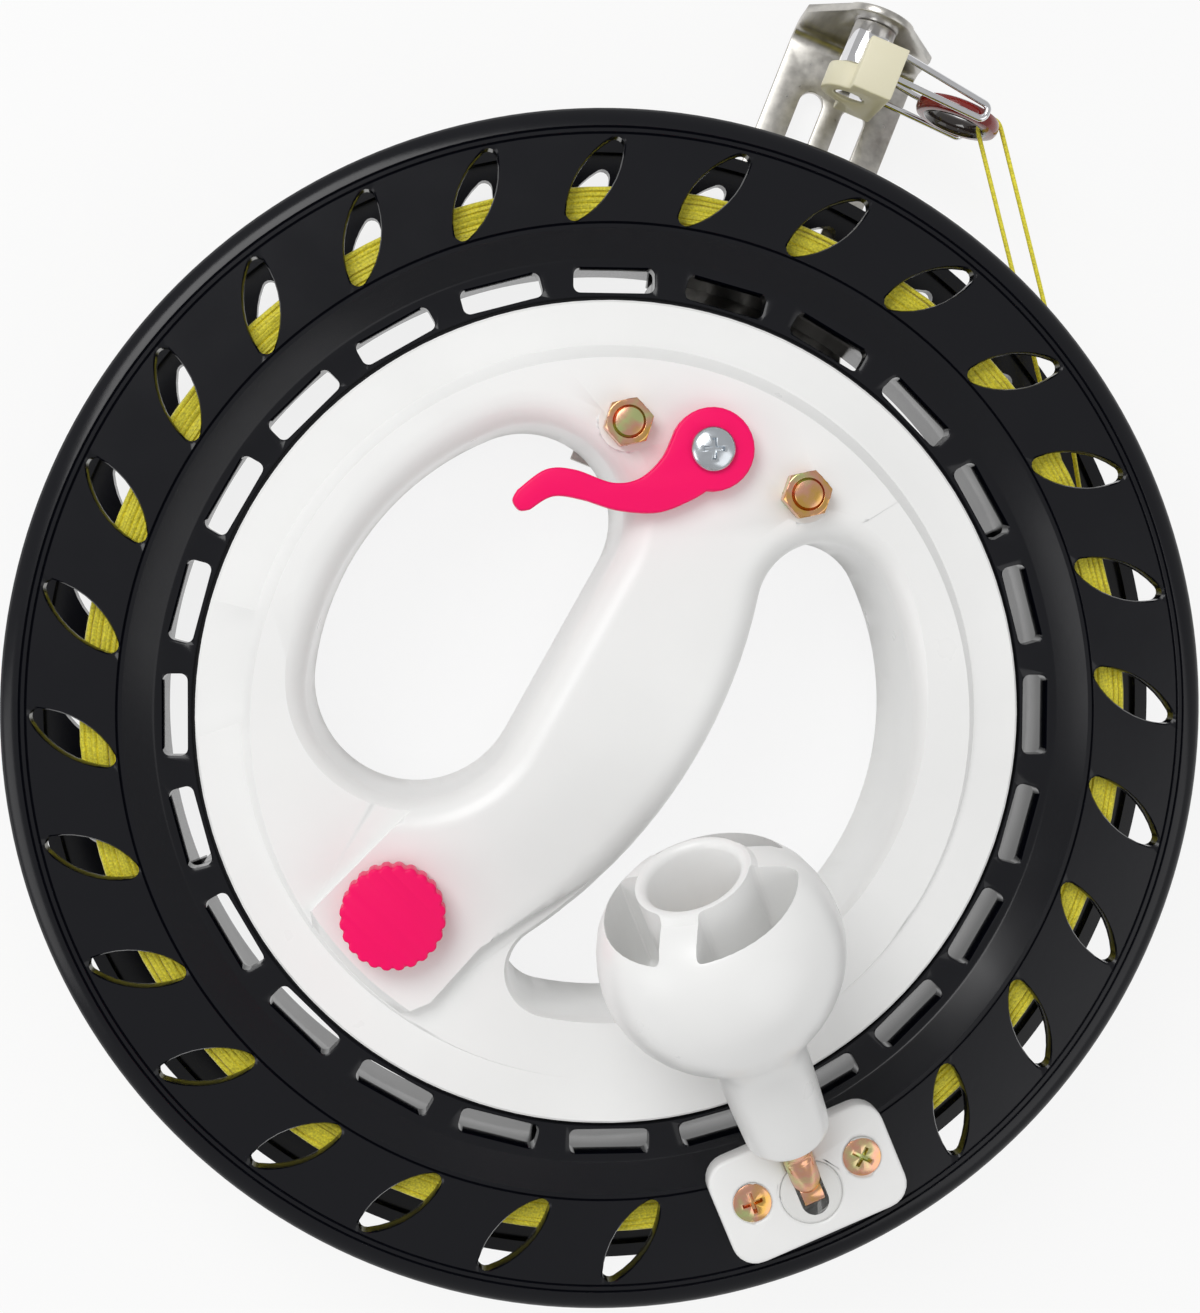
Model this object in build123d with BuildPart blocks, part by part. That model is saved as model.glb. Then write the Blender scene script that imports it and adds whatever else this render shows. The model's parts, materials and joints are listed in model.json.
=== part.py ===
from build123d import *
import os
from math import acos, asin, atan2, cos, degrees, hypot, pi, radians, sin, sqrt, tan

os.makedirs("parts", exist_ok=True)

# The reel lies on its back: its spin axis is Z, its crank side faces up, z = 0 is the resting plane.

# Reel
wheel_r = 110.0
wheel_front = 41.0
wheel_back = 5.0
flange_t = 3.5
rim_bevel = 3.0
rim_lip_r = 107.6
rim_lip_t = 1.8
drum_r = 88.0
drum_inner_r = 84.0
web_r = 83.0
web_top = 37.0
web_bottom = 32.7
halves_joint = 23.0
skirt_outer_r = 77.0
skirt_inner_r = 75.0
skirt_bottom = 12.0
seat_lip_r = 73.5
seat_top = 36.2
window_count = 28
window_turn = 5.07
window_slant = 5.8
window_r_in = 90.0
window_r_out = 104.4
window_w = 6.5
window_tip_r = 1.5
windows_left_out = (22, 23)
slot_count = 24
slot_turn = 14.68
slot_r = 79.35
slot_w = 4.5
slot_l = 14.9
slot_corner_r = 1.3
post_r = 80.2
post_d = 5.0
lug_z = (15.0, 11.0)
post_turn = slot_turn + 7.5
post_count = 6
lug_hole_r = 1.25
lug_screw_head = (2.4, 2.0)
lug_screw_depth = 12.0

# Wound line
line_d = 0.9
turn_count = 8
turn_d = 2.6
wound_r = 96.7
core_r = 93.8

# Bearing
ball_r = 2.75
ball_track_r = 69.8
ball_count = 8
race_bottom = 27.7
race_top = 35.4
inner_race_r = (64.5, 67.6)
outer_race_r = (72.0, 74.8)
cage_r = (68.3, 71.3)
running_gap = 0.08

# Handle
plateau_top = 42.0
disc_top = 38.2
disc_bottom = 36.6
disc_r = 75.7
band_r = (65.0, 67.5)
shell_joint = 20.0
rear_disc_r = 74.5
rear_disc_z = (7.8, 9.4)
sleeve_r = 67.0
sunk_slope = 0.039
sunk_angle = -80.0
finger_round = 6.0
finger_bevel = 4.0
shell_screw_at = 60.4
shell_screw_angles = (10, 120, 200, 325)
shell_screw_r = 1.5
shell_screw_head = (2.8, 2.4)
shell_screw_seat = 6.0
left_hole_r = 56.3
bar_left_point = (-17.4, -2.9)
bar_angle = 60.7
left_hole_corners = (20.0, 17.0)
right_hole_r = 56.4
bar_right_centre = (-68.5, 41.8)
bar_right_r = 97.8
right_hole_corners = (8.0, 12.5)

# Brake and lock
lever_at = (17.5, 48.3)
lever_z = (42.3, 46.0)
lever_travel = 20.0
knob_at = (-40.1, -35.3)
knob_r = 9.5
knob_z = (42.6, 48.4)
knob_teeth = 24
spindle_r = 3.0
cam_r = 3.5
cam_z = (15.8, 24.2)
brake_throw = 3.0
lock_throw = 1.2
shoe_w = 8.0
shoe_z = (15.5, 24.5)
shoe_r = (67.4, 71.0, 73.6)
shoe_span = 26.0
spindle_foot = 13.0
spindle_fit = 0.06
spindle_bore = (1.5, 8.0)
spring_r = (3.4, 4.6)
pocket_r = 5.0
spring_floor = 36.0
collar_floor = 38.0
slack = 0.3

# Guide
guide_angle = 68.3
bolts_u = 50.3
bolts_t = 17.45
bolt_r = 2.5
bracket_z = (2.4, 3.9)
strip_half = 13.0
tab_in = 139.0
tab_out = 140.5
tab_top = 32.0
post_z = 23.0
guide_post_r = 4.2
guide_pin_r = 2.5
ring_at = (130.0, 21.0)
ring_z = 22.0
ring_r = (5.25, 6.35, 8.25)
ring_t = 3.0
wire_r = 0.65

# Crank
crank_angle = -67.6
pivot_r = 94.2
pivot_z = 44.5
crank_rise = 26.0
base_r = (82.5, 102.8)
base_half = 17.2
base_top = 46.3
base_screw_points = [(25.0, -88.8), (45.2, -80.7)]
base_screw_r = 1.75
base_head_r = 3.55
insert_r = 5.75
rod_r = 2.8
eye_r = 2.8
eye_t = 4.0
pin_r = 1.3
stem_end = 15.1


def polar(radius, angle, z=None):
    """Point at a radius and an angle about the spin axis."""
    x, y = radius * cos(radians(angle)), radius * sin(radians(angle))
    return (x, y) if z is None else (x, y, z)


def upright(angle, z=0.0):
    """Level plane whose X axis points outward at an angle."""
    return Plane(origin=(0, 0, z), x_dir=(*polar(1, angle), 0), z_dir=(0, 0, 1))


def level(height):
    return Plane.XY.offset(height)


def at(point, height):
    """Level plane centred over a point."""
    return Plane(origin=(*point, height))


def tube_profile(r_in, r_out, z_low, z_high):
    """Points of a rectangle in the half plane that is turned about the spin axis."""
    return [(r_in, z_low), (r_out, z_low), (r_out, z_high), (r_in, z_high)]


def save(builder, label):
    builder.part.label = label
    export_step(builder.part, f"parts/{label}.step")


def fingers_left():
    """Outline of the left finger opening."""
    with BuildSketch(Plane.XY) as outline:
        Circle(left_hole_r)
        with Locations(bar_left_point):
            Rectangle(240, 120, rotation=bar_angle, align=(Align.CENTER, Align.MIN), mode=Mode.INTERSECT)
        ends = outline.vertices().sort_by(Axis.Y)
        fillet(ends[0], left_hole_corners[0])
        fillet(outline.vertices().sort_by(Axis.Y)[-1], left_hole_corners[1])
    return outline.sketch


def fingers_right():
    """Outline of the right finger opening."""
    with BuildSketch(Plane.XY) as outline:
        Circle(right_hole_r)
        with Locations(bar_right_centre):
            Circle(bar_right_r, mode=Mode.SUBTRACT)
        ends = outline.vertices().sort_by(Axis.Y)
        fillet(ends[0], right_hole_corners[0])
        fillet(outline.vertices().sort_by(Axis.Y)[-1], right_hole_corners[1])
    return outline.sketch


# Handle shells

# Space of the two finger openings, flared at both faces
with BuildPart() as finger_space:
    with BuildSketch(level(-12)):
        add(fingers_left())
        add(fingers_right())
    extrude(amount=plateau_top + 24)
    with BuildSketch(level(plateau_top)):
        Circle(90)
    extrude(amount=12)
    with BuildSketch(level(-12)):
        Circle(90)
    extrude(amount=12)
    front_edges = finger_space.edges().filter_by_position(Axis.Z, plateau_top - 0.01, plateau_top + 0.01)
    fillet(front_edges.sort_by(SortBy.LENGTH)[:-1], finger_round)
    back_edges = finger_space.edges().filter_by_position(Axis.Z, -0.01, 0.01)
    chamfer(back_edges.sort_by(SortBy.LENGTH)[:-1], finger_bevel)

# Raised bar from the lock knob to the nuts, as seen from the front
tongue = [(-36.1, -16.1), (-55.0, -35.0), (-54.7, -37.8)]
tongue_end = (-39.0, -54.1)
bar_side = [(-33.5, -51.9), (-24.4, -41.9), (-15.2, -36.5), (14, -20), (36, 18), (39, 31), (60, 44)]
bar_head = [(60, 75), (-17, 75), (-17.4, -2.9)]
tongue_mid = polar(66.6, 222.0)

# Space above the plateau, which sinks towards the bottom beside the bar
sunk_dir = polar(1, sunk_angle)
sunk_plane = Plane(
    origin=(*polar(band_r[0], sunk_angle), disc_top),
    z_dir=(sunk_slope * sunk_dir[0], sunk_slope * sunk_dir[1], 1),
)
with BuildPart() as sunk_space:
    with BuildSketch(level(disc_top)):
        Circle(band_r[1])
    extrude(amount=20)
    split(bisect_by=sunk_plane, keep=Keep.TOP)
    with BuildSketch(level(30)):
        with BuildLine():
            Polyline(tongue)
            ThreePointArc(tongue[-1], tongue_mid, tongue_end)
            Polyline([tongue_end, *bar_side, *bar_head, tongue[0]])
        make_face()
    extrude(amount=40, mode=Mode.SUBTRACT)

bolt_points = [polar(hypot(bolts_u, bolts_t), guide_angle + s * degrees(atan2(bolts_t, bolts_u))) for s in (1, -1)]
shell_screw_points = [polar(shell_screw_at, angle) for angle in shell_screw_angles]
spindles = (lever_at, knob_at)
chamber_r = (brake_throw + cam_r + 0.5, lock_throw + cam_r + 0.5)


# Channels of both shoes and chambers of both cams, cut from either shell
with BuildPart() as shoe_space:
    for point, chamber in zip(spindles, chamber_r):
        angle = degrees(atan2(point[1], point[0]))
        start = hypot(*point)
        with BuildSketch(upright(angle, shoe_z[0] + 0.4)):
            with Locations(((start + 80) / 2, 0)):
                Rectangle(80 - start, shoe_w + 2 * slack)
        extrude(amount=shoe_z[1] - shoe_z[0] - 0.8)
        with BuildSketch(at(point, cam_z[0] - slack)):
            Circle(chamber)
        extrude(amount=cam_z[1] - cam_z[0] + 2 * slack)
        with BuildSketch(at(point, spindle_foot - slack)):
            Circle(spindle_r + spindle_fit)
        extrude(amount=40)

with BuildPart() as handle_front_shell:
    with BuildSketch(Plane.XZ):
        Polygon(
            (0, shell_joint),
            (inner_race_r[0], shell_joint),
            (inner_race_r[0], race_top),
            (sleeve_r, race_top),
            (sleeve_r, disc_bottom),
            (disc_r, disc_bottom),
            (disc_r, disc_top - 0.4),
            (disc_r - 0.4, disc_top),
            (band_r[1], disc_top),
            (band_r[0], plateau_top),
            (0, plateau_top),
            align=None,
        )
    revolve(axis=Axis.Z)
    add(sunk_space.part, mode=Mode.SUBTRACT)
    add(finger_space.part, mode=Mode.SUBTRACT)
    with BuildSketch(level(plateau_top - 4)):
        with Locations(bolt_points):
            Circle(5.2)
    extrude(amount=4)
    with BuildSketch(level(shell_joint)):
        with Locations(bolt_points):
            Circle(bolt_r)
    extrude(amount=30, mode=Mode.SUBTRACT)
    with BuildSketch(level(shell_joint)):
        with Locations(shell_screw_points):
            Circle(shell_screw_r)
    extrude(amount=8, mode=Mode.SUBTRACT)
    add(shoe_space.part, mode=Mode.SUBTRACT)
    with BuildSketch(at(lever_at, spring_floor)):
        Circle(pocket_r)
    extrude(amount=8, mode=Mode.SUBTRACT)
    with BuildSketch(at(knob_at, collar_floor)):
        Circle(pocket_r)
    extrude(amount=8, mode=Mode.SUBTRACT)

with BuildPart() as handle_rear_shell:
    with BuildSketch(Plane.XZ):
        Polygon(
            (0, 0),
            (band_r[0] - 1, 0),
            (band_r[1] - 1.5, rear_disc_z[0]),
            (rear_disc_r, rear_disc_z[0]),
            (rear_disc_r, rear_disc_z[1]),
            (sleeve_r, rear_disc_z[1]),
            (sleeve_r, race_bottom),
            (inner_race_r[0], race_bottom),
            (inner_race_r[0], shell_joint),
            (0, shell_joint),
            align=None,
        )
    revolve(axis=Axis.Z)
    add(finger_space.part, mode=Mode.SUBTRACT)
    with BuildSketch(upright(guide_angle, 0)):
        Polygon((41, -24), (73, -24), (100, -18), (100, 18), (73, 24), (41, 24), align=None)
    extrude(amount=bracket_z[1], mode=Mode.SUBTRACT)
    with BuildSketch(level(0)):
        with Locations(bolt_points):
            Circle(bolt_r)
    extrude(amount=30, mode=Mode.SUBTRACT)
    with BuildSketch(level(4)):
        with Locations(shell_screw_points):
            Circle(shell_screw_r)
    extrude(amount=20, mode=Mode.SUBTRACT)
    with BuildSketch(level(0)):
        with Locations(shell_screw_points):
            Circle(shell_screw_head[0] + 0.2)
    extrude(amount=shell_screw_seat, mode=Mode.SUBTRACT)
    add(shoe_space.part, mode=Mode.SUBTRACT)

# Screws from the back that hold the shells together
with BuildPart() as shell_screws:
    with BuildSketch(level(shell_screw_seat - shell_screw_head[1])):
        with Locations(shell_screw_points):
            Circle(shell_screw_head[0])
    extrude(amount=shell_screw_head[1])
    with BuildSketch(level(shell_screw_seat)):
        with Locations(shell_screw_points):
            Circle(shell_screw_r)
    extrude(amount=20)

# Bearing
race_mid = (race_bottom + race_top) / 2
ball_points = [polar(ball_track_r, 360 * k / ball_count) for k in range(ball_count)]


def race(radii):
    """One race: a short tube with the groove that the balls run in."""
    with BuildPart() as ring:
        with BuildSketch(Plane.XZ):
            Polygon(*tube_profile(*radii, race_bottom, race_top), align=None)
            with Locations((ball_track_r, race_mid)):
                RegularPolygon(ball_r + running_gap, 8, major_radius=False, mode=Mode.SUBTRACT)
        revolve(axis=Axis.Z)
    return ring


bearing_inner_race = race(inner_race_r)
bearing_outer_race = race(outer_race_r)

# One ball, turned from an eight-sided outline
with BuildPart() as ball:
    with BuildSketch(Plane.XZ):
        RegularPolygon(ball_r, 8, rotation=22.5)
        Rectangle(2 * ball_r, 2 * ball_r, align=(Align.MAX, Align.CENTER), mode=Mode.SUBTRACT)
    revolve(axis=Axis.Z)

with BuildPart() as bearing_balls:
    with Locations(*[(x, y, race_mid) for x, y in ball_points]):
        add(ball.part)

with BuildPart() as bearing_cage:
    with BuildSketch(Plane.XZ):
        Polygon(*tube_profile(*cage_r, race_bottom + 0.6, race_top - 0.6), align=None)
    revolve(axis=Axis.Z)
    for k in range(ball_count):
        out = polar(1, 360 * k / ball_count)
        with BuildSketch(Plane(origin=(60 * out[0], 60 * out[1], race_mid), z_dir=(*out, 0))):
            Circle(ball_r + running_gap)
        extrude(amount=20, mode=Mode.SUBTRACT)


# Brake and lock
def shoe_frame(point):
    """Angle and radius of a spindle, which its shoe slides away from."""
    return degrees(atan2(point[1], point[0])), hypot(*point)


def arc_shoe(angle, r_in, r_out):
    """Curved block between two radii, centred on an angle."""
    half = shoe_span / 2
    with BuildPart() as block:
        with BuildSketch(level(shoe_z[0])):
            with BuildLine():
                CenterArc((0, 0), r_out, angle - half, 2 * half)
                CenterArc((0, 0), r_in, angle - half, 2 * half)
                Line(polar(r_in, angle - half), polar(r_out, angle - half))
                Line(polar(r_in, angle + half), polar(r_out, angle + half))
            make_face()
        extrude(amount=shoe_z[1] - shoe_z[0])
    return block


def shoe(point, r_out):
    """Shoe with the stem that its cam pushes."""
    angle, start = shoe_frame(point)
    inner = start + cam_r + slack
    with BuildPart() as block:
        add(arc_shoe(angle, shoe_r[0], r_out).part)
        with BuildSketch(upright(angle, shoe_z[0] + 0.8)):
            with Locations(((inner + shoe_r[0] + 1) / 2, 0)):
                Rectangle(shoe_r[0] + 1 - inner, shoe_w)
        extrude(amount=shoe_z[1] - shoe_z[0] - 1.6)
    return block


def cam_spindle(point, throw, top):
    """Upright spindle with an eccentric cam, which is thrown sideways of its shoe at rest."""
    angle, start = shoe_frame(point)
    cam_at = (point[0] + throw * sin(radians(angle)), point[1] - throw * cos(radians(angle)))
    with BuildPart() as spindle:
        with BuildSketch(at(point, spindle_foot)):
            Circle(spindle_r)
        extrude(amount=top - spindle_foot)
        with BuildSketch(at(cam_at, cam_z[0])):
            Circle(cam_r)
        extrude(amount=cam_z[1] - cam_z[0])
        with BuildSketch(at(point, top - spindle_bore[1])):
            Circle(spindle_bore[0])
        extrude(amount=spindle_bore[1], mode=Mode.SUBTRACT)
    return spindle


brake_shoe = shoe(lever_at, shoe_r[1])
brake_pad = arc_shoe(shoe_frame(lever_at)[0], shoe_r[1], shoe_r[2])
lock_shoe = shoe(knob_at, shoe_r[2])
brake_cam = cam_spindle(lever_at, brake_throw, lever_z[1])
lock_cam = cam_spindle(knob_at, lock_throw, knob_z[1] - 1)

# Lever: a round eye and a curved finger arm with a hooked tip
lever_eye_r = 7.6
with BuildPart() as brake_lever:
    with BuildSketch(level(lever_z[0])):
        with BuildLine():
            Spline((12.0, 53.5), (8.3, 47.2), (-0.2, 42.3), (-9.6, 45.2), (-18.3, 40.0))
            ThreePointArc((-18.3, 40.0), (-17.9, 37.6), (-15.4, 37.3))
            Spline((-15.4, 37.3), (-10.4, 40.2), (-0.2, 37.4), (6.1, 36.9), (17.0, 40.8))
            Line((17.0, 40.8), (12.0, 53.5))
        make_face()
        with Locations(lever_at):
            Circle(lever_eye_r)
            Circle(spindle_r, mode=Mode.SUBTRACT)
    extrude(amount=lever_z[1] - lever_z[0])

with BuildPart() as lever_screw:
    with BuildSketch(at(lever_at, lever_z[1])):
        Circle(4.1)
    extrude(amount=2)
    chamfer(lever_screw.edges().group_by(Axis.Z)[-1], 0.8, 1.6)
    with BuildSketch(at(lever_at, lever_z[1] - 6)):
        Circle(spindle_bore[0])
    extrude(amount=6)
    with BuildSketch(at(lever_at, lever_z[1] + 1)):
        Rectangle(4.6, 0.9)
        Rectangle(0.9, 4.6)
    extrude(amount=2, mode=Mode.SUBTRACT)

with BuildPart() as lever_spring:
    with BuildSketch(at(lever_at, spring_floor)):
        Circle(spring_r[1])
        Circle(spring_r[0], mode=Mode.SUBTRACT)
    extrude(amount=plateau_top - 0.2 - spring_floor)

with BuildPart() as lock_collar:
    with BuildSketch(at(knob_at, collar_floor)):
        Circle(pocket_r)
        Circle(spindle_r + spindle_fit, mode=Mode.SUBTRACT)
    extrude(amount=plateau_top - collar_floor)

with BuildPart() as lock_knob:
    with BuildSketch(at(knob_at, knob_z[0])):
        Circle(knob_r)
        with PolarLocations(knob_r + 0.35, knob_teeth):
            Circle(0.75, mode=Mode.SUBTRACT)
    extrude(amount=knob_z[1] - knob_z[0])
    with BuildSketch(at(knob_at, knob_z[0])):
        Circle(spindle_r)
    extrude(amount=knob_z[1] - knob_z[0] - 1, mode=Mode.SUBTRACT)


# Reel
def window():
    """Lens with rounded tips, centred on the origin with its length along X."""
    inner = polar(window_r_in, window_slant)
    length = hypot(window_r_out - inner[0], inner[1])
    half_l, half_w, tip = length / 2, window_w / 2, window_tip_r
    tip_x = half_l - tip
    side_r = (tip_x**2 + half_w**2 - tip**2) / (2 * (half_w - tip))
    lean = atan2(tip_x, side_r - half_w)
    join_x, join_y = tip_x + tip * sin(lean), tip * cos(lean)
    with BuildSketch(Plane.XY) as lens:
        with BuildLine():
            ThreePointArc((-join_x, join_y), (0, half_w), (join_x, join_y))
            ThreePointArc((join_x, join_y), (half_l, 0), (join_x, -join_y))
            ThreePointArc((join_x, -join_y), (0, -half_w), (-join_x, -join_y))
            ThreePointArc((-join_x, -join_y), (-half_l, 0), (-join_x, join_y))
        make_face()
    return lens.sketch


def window_places():
    """Place of each window, midway between its inner and its outer tip."""
    places = []
    for k in range(window_count):
        if k in windows_left_out:
            continue
        turn = window_turn + 360 * k / window_count
        tip_in = polar(window_r_in, turn)
        tip_out = polar(window_r_out, turn - window_slant)
        lean = degrees(atan2(tip_out[1] - tip_in[1], tip_out[0] - tip_in[0]))
        middle = ((tip_in[0] + tip_out[0]) / 2, (tip_in[1] + tip_out[1]) / 2)
        places.append(Location((*middle, 0), (0, 0, lean)))
    return places


with BuildSketch(Plane.XY) as windows:
    with Locations(*window_places()):
        add(window())

post_points = [polar(post_r, post_turn + 360 * k / post_count) for k in range(post_count)]

with BuildPart() as reel_front_half:
    with BuildSketch(Plane.XZ):
        Polygon(
            (drum_inner_r, halves_joint),
            (drum_r, halves_joint),
            (drum_r, wheel_front - flange_t),
            (rim_lip_r, wheel_front - flange_t),
            (rim_lip_r, wheel_front - flange_t - rim_lip_t),
            (wheel_r, wheel_front - flange_t - rim_lip_t),
            (wheel_r, wheel_front - rim_bevel / 2),
            (wheel_r - rim_bevel, wheel_front),
            (drum_r, wheel_front),
            (web_r, web_top),
            (skirt_outer_r - 0.5, web_top),
            (skirt_outer_r - 0.5, seat_top),
            (seat_lip_r, seat_top),
            (seat_lip_r, race_top),
            (outer_race_r[1], race_top),
            (outer_race_r[1], race_bottom),
            (skirt_inner_r, race_bottom),
            (skirt_inner_r, skirt_bottom),
            (skirt_outer_r, skirt_bottom),
            (skirt_outer_r, web_bottom),
            (drum_inner_r, web_bottom),
            align=None,
        )
    revolve(axis=Axis.Z)
    with BuildSketch(level(web_bottom)):
        with PolarLocations(slot_r, slot_count, start_angle=slot_turn):
            RectangleRounded(slot_w, slot_l, slot_corner_r)
    extrude(amount=web_top - web_bottom, mode=Mode.SUBTRACT)
    with BuildSketch(level(wheel_front - flange_t)):
        add(windows.sketch)
    extrude(amount=flange_t, mode=Mode.SUBTRACT)
    with BuildSketch(level(lug_z[0])):
        with Locations(post_points):
            Circle(post_d / 2)
        with PolarLocations((post_r + drum_inner_r) / 2 - 0.1, post_count, start_angle=post_turn):
            Rectangle(drum_inner_r - post_r, 2)
    extrude(amount=web_bottom - lug_z[0])
    with BuildSketch(level(lug_z[0])):
        with Locations(post_points):
            Circle(lug_hole_r)
    extrude(amount=lug_screw_depth, mode=Mode.SUBTRACT)
    with BuildSketch(level(wheel_front - flange_t)):
        with Locations(base_screw_points):
            Circle(base_screw_r)
    extrude(amount=flange_t, mode=Mode.SUBTRACT)

with BuildPart() as reel_rear_half:
    with BuildSketch(Plane.XZ):
        Polygon(
            (drum_inner_r, halves_joint),
            (drum_r, halves_joint),
            (drum_r, wheel_back + flange_t),
            (rim_lip_r, wheel_back + flange_t),
            (rim_lip_r, wheel_back + flange_t + rim_lip_t),
            (wheel_r, wheel_back + flange_t + rim_lip_t),
            (wheel_r, wheel_back + rim_bevel / 2),
            (wheel_r - rim_bevel, wheel_back),
            (drum_inner_r, wheel_back),
            align=None,
        )
    revolve(axis=Axis.Z)
    with BuildSketch(level(wheel_back)):
        add(windows.sketch)
    extrude(amount=flange_t, mode=Mode.SUBTRACT)
    with BuildSketch(level(lug_z[1])):
        with Locations(post_points):
            Circle(post_d / 2)
        with PolarLocations((post_r + drum_inner_r) / 2 + 0.5, post_count, start_angle=post_turn):
            Rectangle(drum_inner_r - post_r + 1, post_d)
    extrude(amount=lug_z[0] - lug_z[1])
    with BuildSketch(level(lug_z[1])):
        with Locations(post_points):
            Circle(lug_hole_r)
    extrude(amount=lug_z[0] - lug_z[1], mode=Mode.SUBTRACT)

# Screws that join the halves
with BuildPart() as reel_screws:
    with BuildSketch(level(lug_z[1] - lug_screw_head[1])):
        with Locations(post_points):
            Circle(lug_screw_head[0])
    extrude(amount=lug_screw_head[1])
    with BuildSketch(level(lug_z[1])):
        with Locations(post_points):
            Circle(lug_hole_r)
    extrude(amount=lug_screw_depth)

# Wound line: a plain core under one layer of turns
with BuildPart() as line_core:
    with BuildSketch(Plane.XZ):
        Polygon(
            *tube_profile(drum_r, core_r, wheel_back + flange_t + 0.4, wheel_front - flange_t - 0.4),
            align=None,
        )
    revolve(axis=Axis.Z)

turn_r = wound_r - turn_d / 2
turn_step = 3.2
turn_low = (wheel_front + wheel_back - turn_step * turn_count) / 2
turn_rise = turn_step / (2 * pi * turn_r)


def wound_point(angle):
    """Point of the winding's middle line after a turn in degrees."""
    return Vector(*polar(turn_r, angle + guide_angle), turn_low + turn_step * angle / 360)


def wound_tangent(angle):
    return Vector(*polar(1, angle + guide_angle + 90), turn_rise).normalized()


def arc_middle(start, tip, end):
    """Middle of the arc that leaves start and reaches end, both towards their common tip."""
    chord_mid = (start + end) * 0.5
    half = (end - start).length / 2
    rise = tip - chord_mid
    return chord_mid + rise.normalized() * half * tan(atan2(rise.length, half) / 2)


def biarc(p0, t0, p1, t1):
    """Two arcs that join two points with given directions: (start, middle, end) of each."""
    v, t = p1 - p0, t0 + t1
    a, b, c = t.length**2 - 4, -2 * v.dot(t), v.length**2
    reach = (-b - sqrt(b * b - 4 * a * c)) / (2 * a)
    tip0, tip1 = p0 + t0 * reach, p1 - t1 * reach
    joint = (tip0 + tip1) * 0.5
    return [(p0, arc_middle(p0, tip0, joint), joint), (joint, arc_middle(joint, tip1, p1), p1)]


wound_arcs = []
for half_turn in range(2 * turn_count):
    a0, a1 = 180 * half_turn, 180 * (half_turn + 1)
    wound_arcs += biarc(wound_point(a0), wound_tangent(a0), wound_point(a1), wound_tangent(a1))
wound_first, wound_last = wound_point(0), wound_point(360 * turn_count)
wound_start = wound_first - wound_tangent(0) * turn_d
wound_end = wound_last + wound_tangent(0) * turn_d

with BuildPart() as line_turns:
    with BuildLine() as wound_path:
        Line(wound_start, wound_first)
        for start, middle, end in wound_arcs:
            ThreePointArc(start, middle, end)
        Line(wound_last, wound_end)
    with BuildSketch(Plane(origin=wound_start, z_dir=wound_tangent(0), x_dir=(0, 0, 1))):
        RegularPolygon(turn_d / 2, 6, rotation=30)
    sweep(path=wound_path.wires()[0])

samples = [wound_point(a) for a in range(0, 360 * turn_count + 1, 10)]
wound_gap = min((p - q).length for i, p in enumerate(samples) for q in samples[i + 18:]) - turn_d
print(f"winding: {turn_count} turns, least gap to itself {wound_gap:.2f} mm")

# Crank base
crank_point = (*polar(pivot_r, crank_angle), pivot_z)
crank_side = (*polar(1, crank_angle + 90), 0)
crank_out = polar(1, crank_angle)
rise_cos, rise_sin = cos(radians(crank_rise)), sin(radians(crank_rise))
crank_dir = (-crank_out[0] * rise_cos, -crank_out[1] * rise_cos, rise_sin)
base_mid = sum(base_r) / 2
slot_out = 98.2


def crank_plane(reach):
    """Plane square to the rod at a distance from its pivot."""
    return Plane(origin=crank_point, x_dir=crank_side, z_dir=crank_dir).offset(reach)


pin_plane = Plane(origin=crank_point, x_dir=(0, 0, 1), z_dir=crank_side)


def crank_slot(width):
    """Slot that the rod folds in, open towards the spin axis."""
    with BuildPart() as slot:
        with BuildSketch(upright(crank_angle, 40)):
            with Locations(((slot_out - width / 2 + 76) / 2, 0)):
                Rectangle(slot_out - width / 2 - 76, width)
            with Locations((slot_out - width / 2, 0)):
                Circle(width / 2)
        extrude(amount=10)
    return slot.part


with BuildPart() as crank_base:
    with BuildSketch(upright(crank_angle, wheel_front)):
        with Locations((base_mid, 0)):
            RectangleRounded(base_r[1] - base_r[0], 2 * base_half, 4.5)
    extrude(amount=base_top - wheel_front)
    chamfer(crank_base.edges().group_by(Axis.Z)[-1], 0.8)
    with BuildSketch(upright(crank_angle, wheel_front)):
        with Locations((pivot_r, 0)):
            Circle(insert_r)
    extrude(amount=10, mode=Mode.SUBTRACT)
    add(crank_slot(5.2), mode=Mode.SUBTRACT)
    with BuildSketch(level(wheel_front)):
        with Locations(base_screw_points):
            Circle(base_screw_r)
    extrude(amount=8, mode=Mode.SUBTRACT)
    with Locations(*[(x, y, base_top - 1.1) for x, y in base_screw_points]):
        Cone(base_screw_r, base_head_r, 2.2, mode=Mode.SUBTRACT)
    with BuildSketch(pin_plane.offset(-8)):
        Circle(pin_r)
    extrude(amount=16, mode=Mode.SUBTRACT)

with BuildPart() as crank_insert:
    with BuildSketch(upright(crank_angle, wheel_front)):
        with Locations((pivot_r, 0)):
            Circle(insert_r)
    extrude(amount=base_top + 0.3 - wheel_front)
    add(crank_slot(4.8), mode=Mode.SUBTRACT)
    with BuildSketch(pin_plane.offset(-8)):
        Circle(pin_r)
    extrude(amount=16, mode=Mode.SUBTRACT)

with BuildPart() as crank_screws:
    with Locations(*[(x, y, base_top - 1.1) for x, y in base_screw_points]):
        Cone(base_screw_r, base_head_r, 2.2)
    with BuildSketch(level(wheel_front - flange_t)):
        with Locations(base_screw_points):
            Circle(base_screw_r)
    extrude(amount=base_top - 2.2 - wheel_front + flange_t)
    with BuildSketch(level(base_top - 1)):
        with Locations(base_screw_points):
            Rectangle(4.0, 0.8)
            Rectangle(0.8, 4.0)
    extrude(amount=2, mode=Mode.SUBTRACT)

with BuildPart() as crank_pin:
    with BuildSketch(pin_plane.offset(-8)):
        Circle(pin_r)
    extrude(amount=16)

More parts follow.
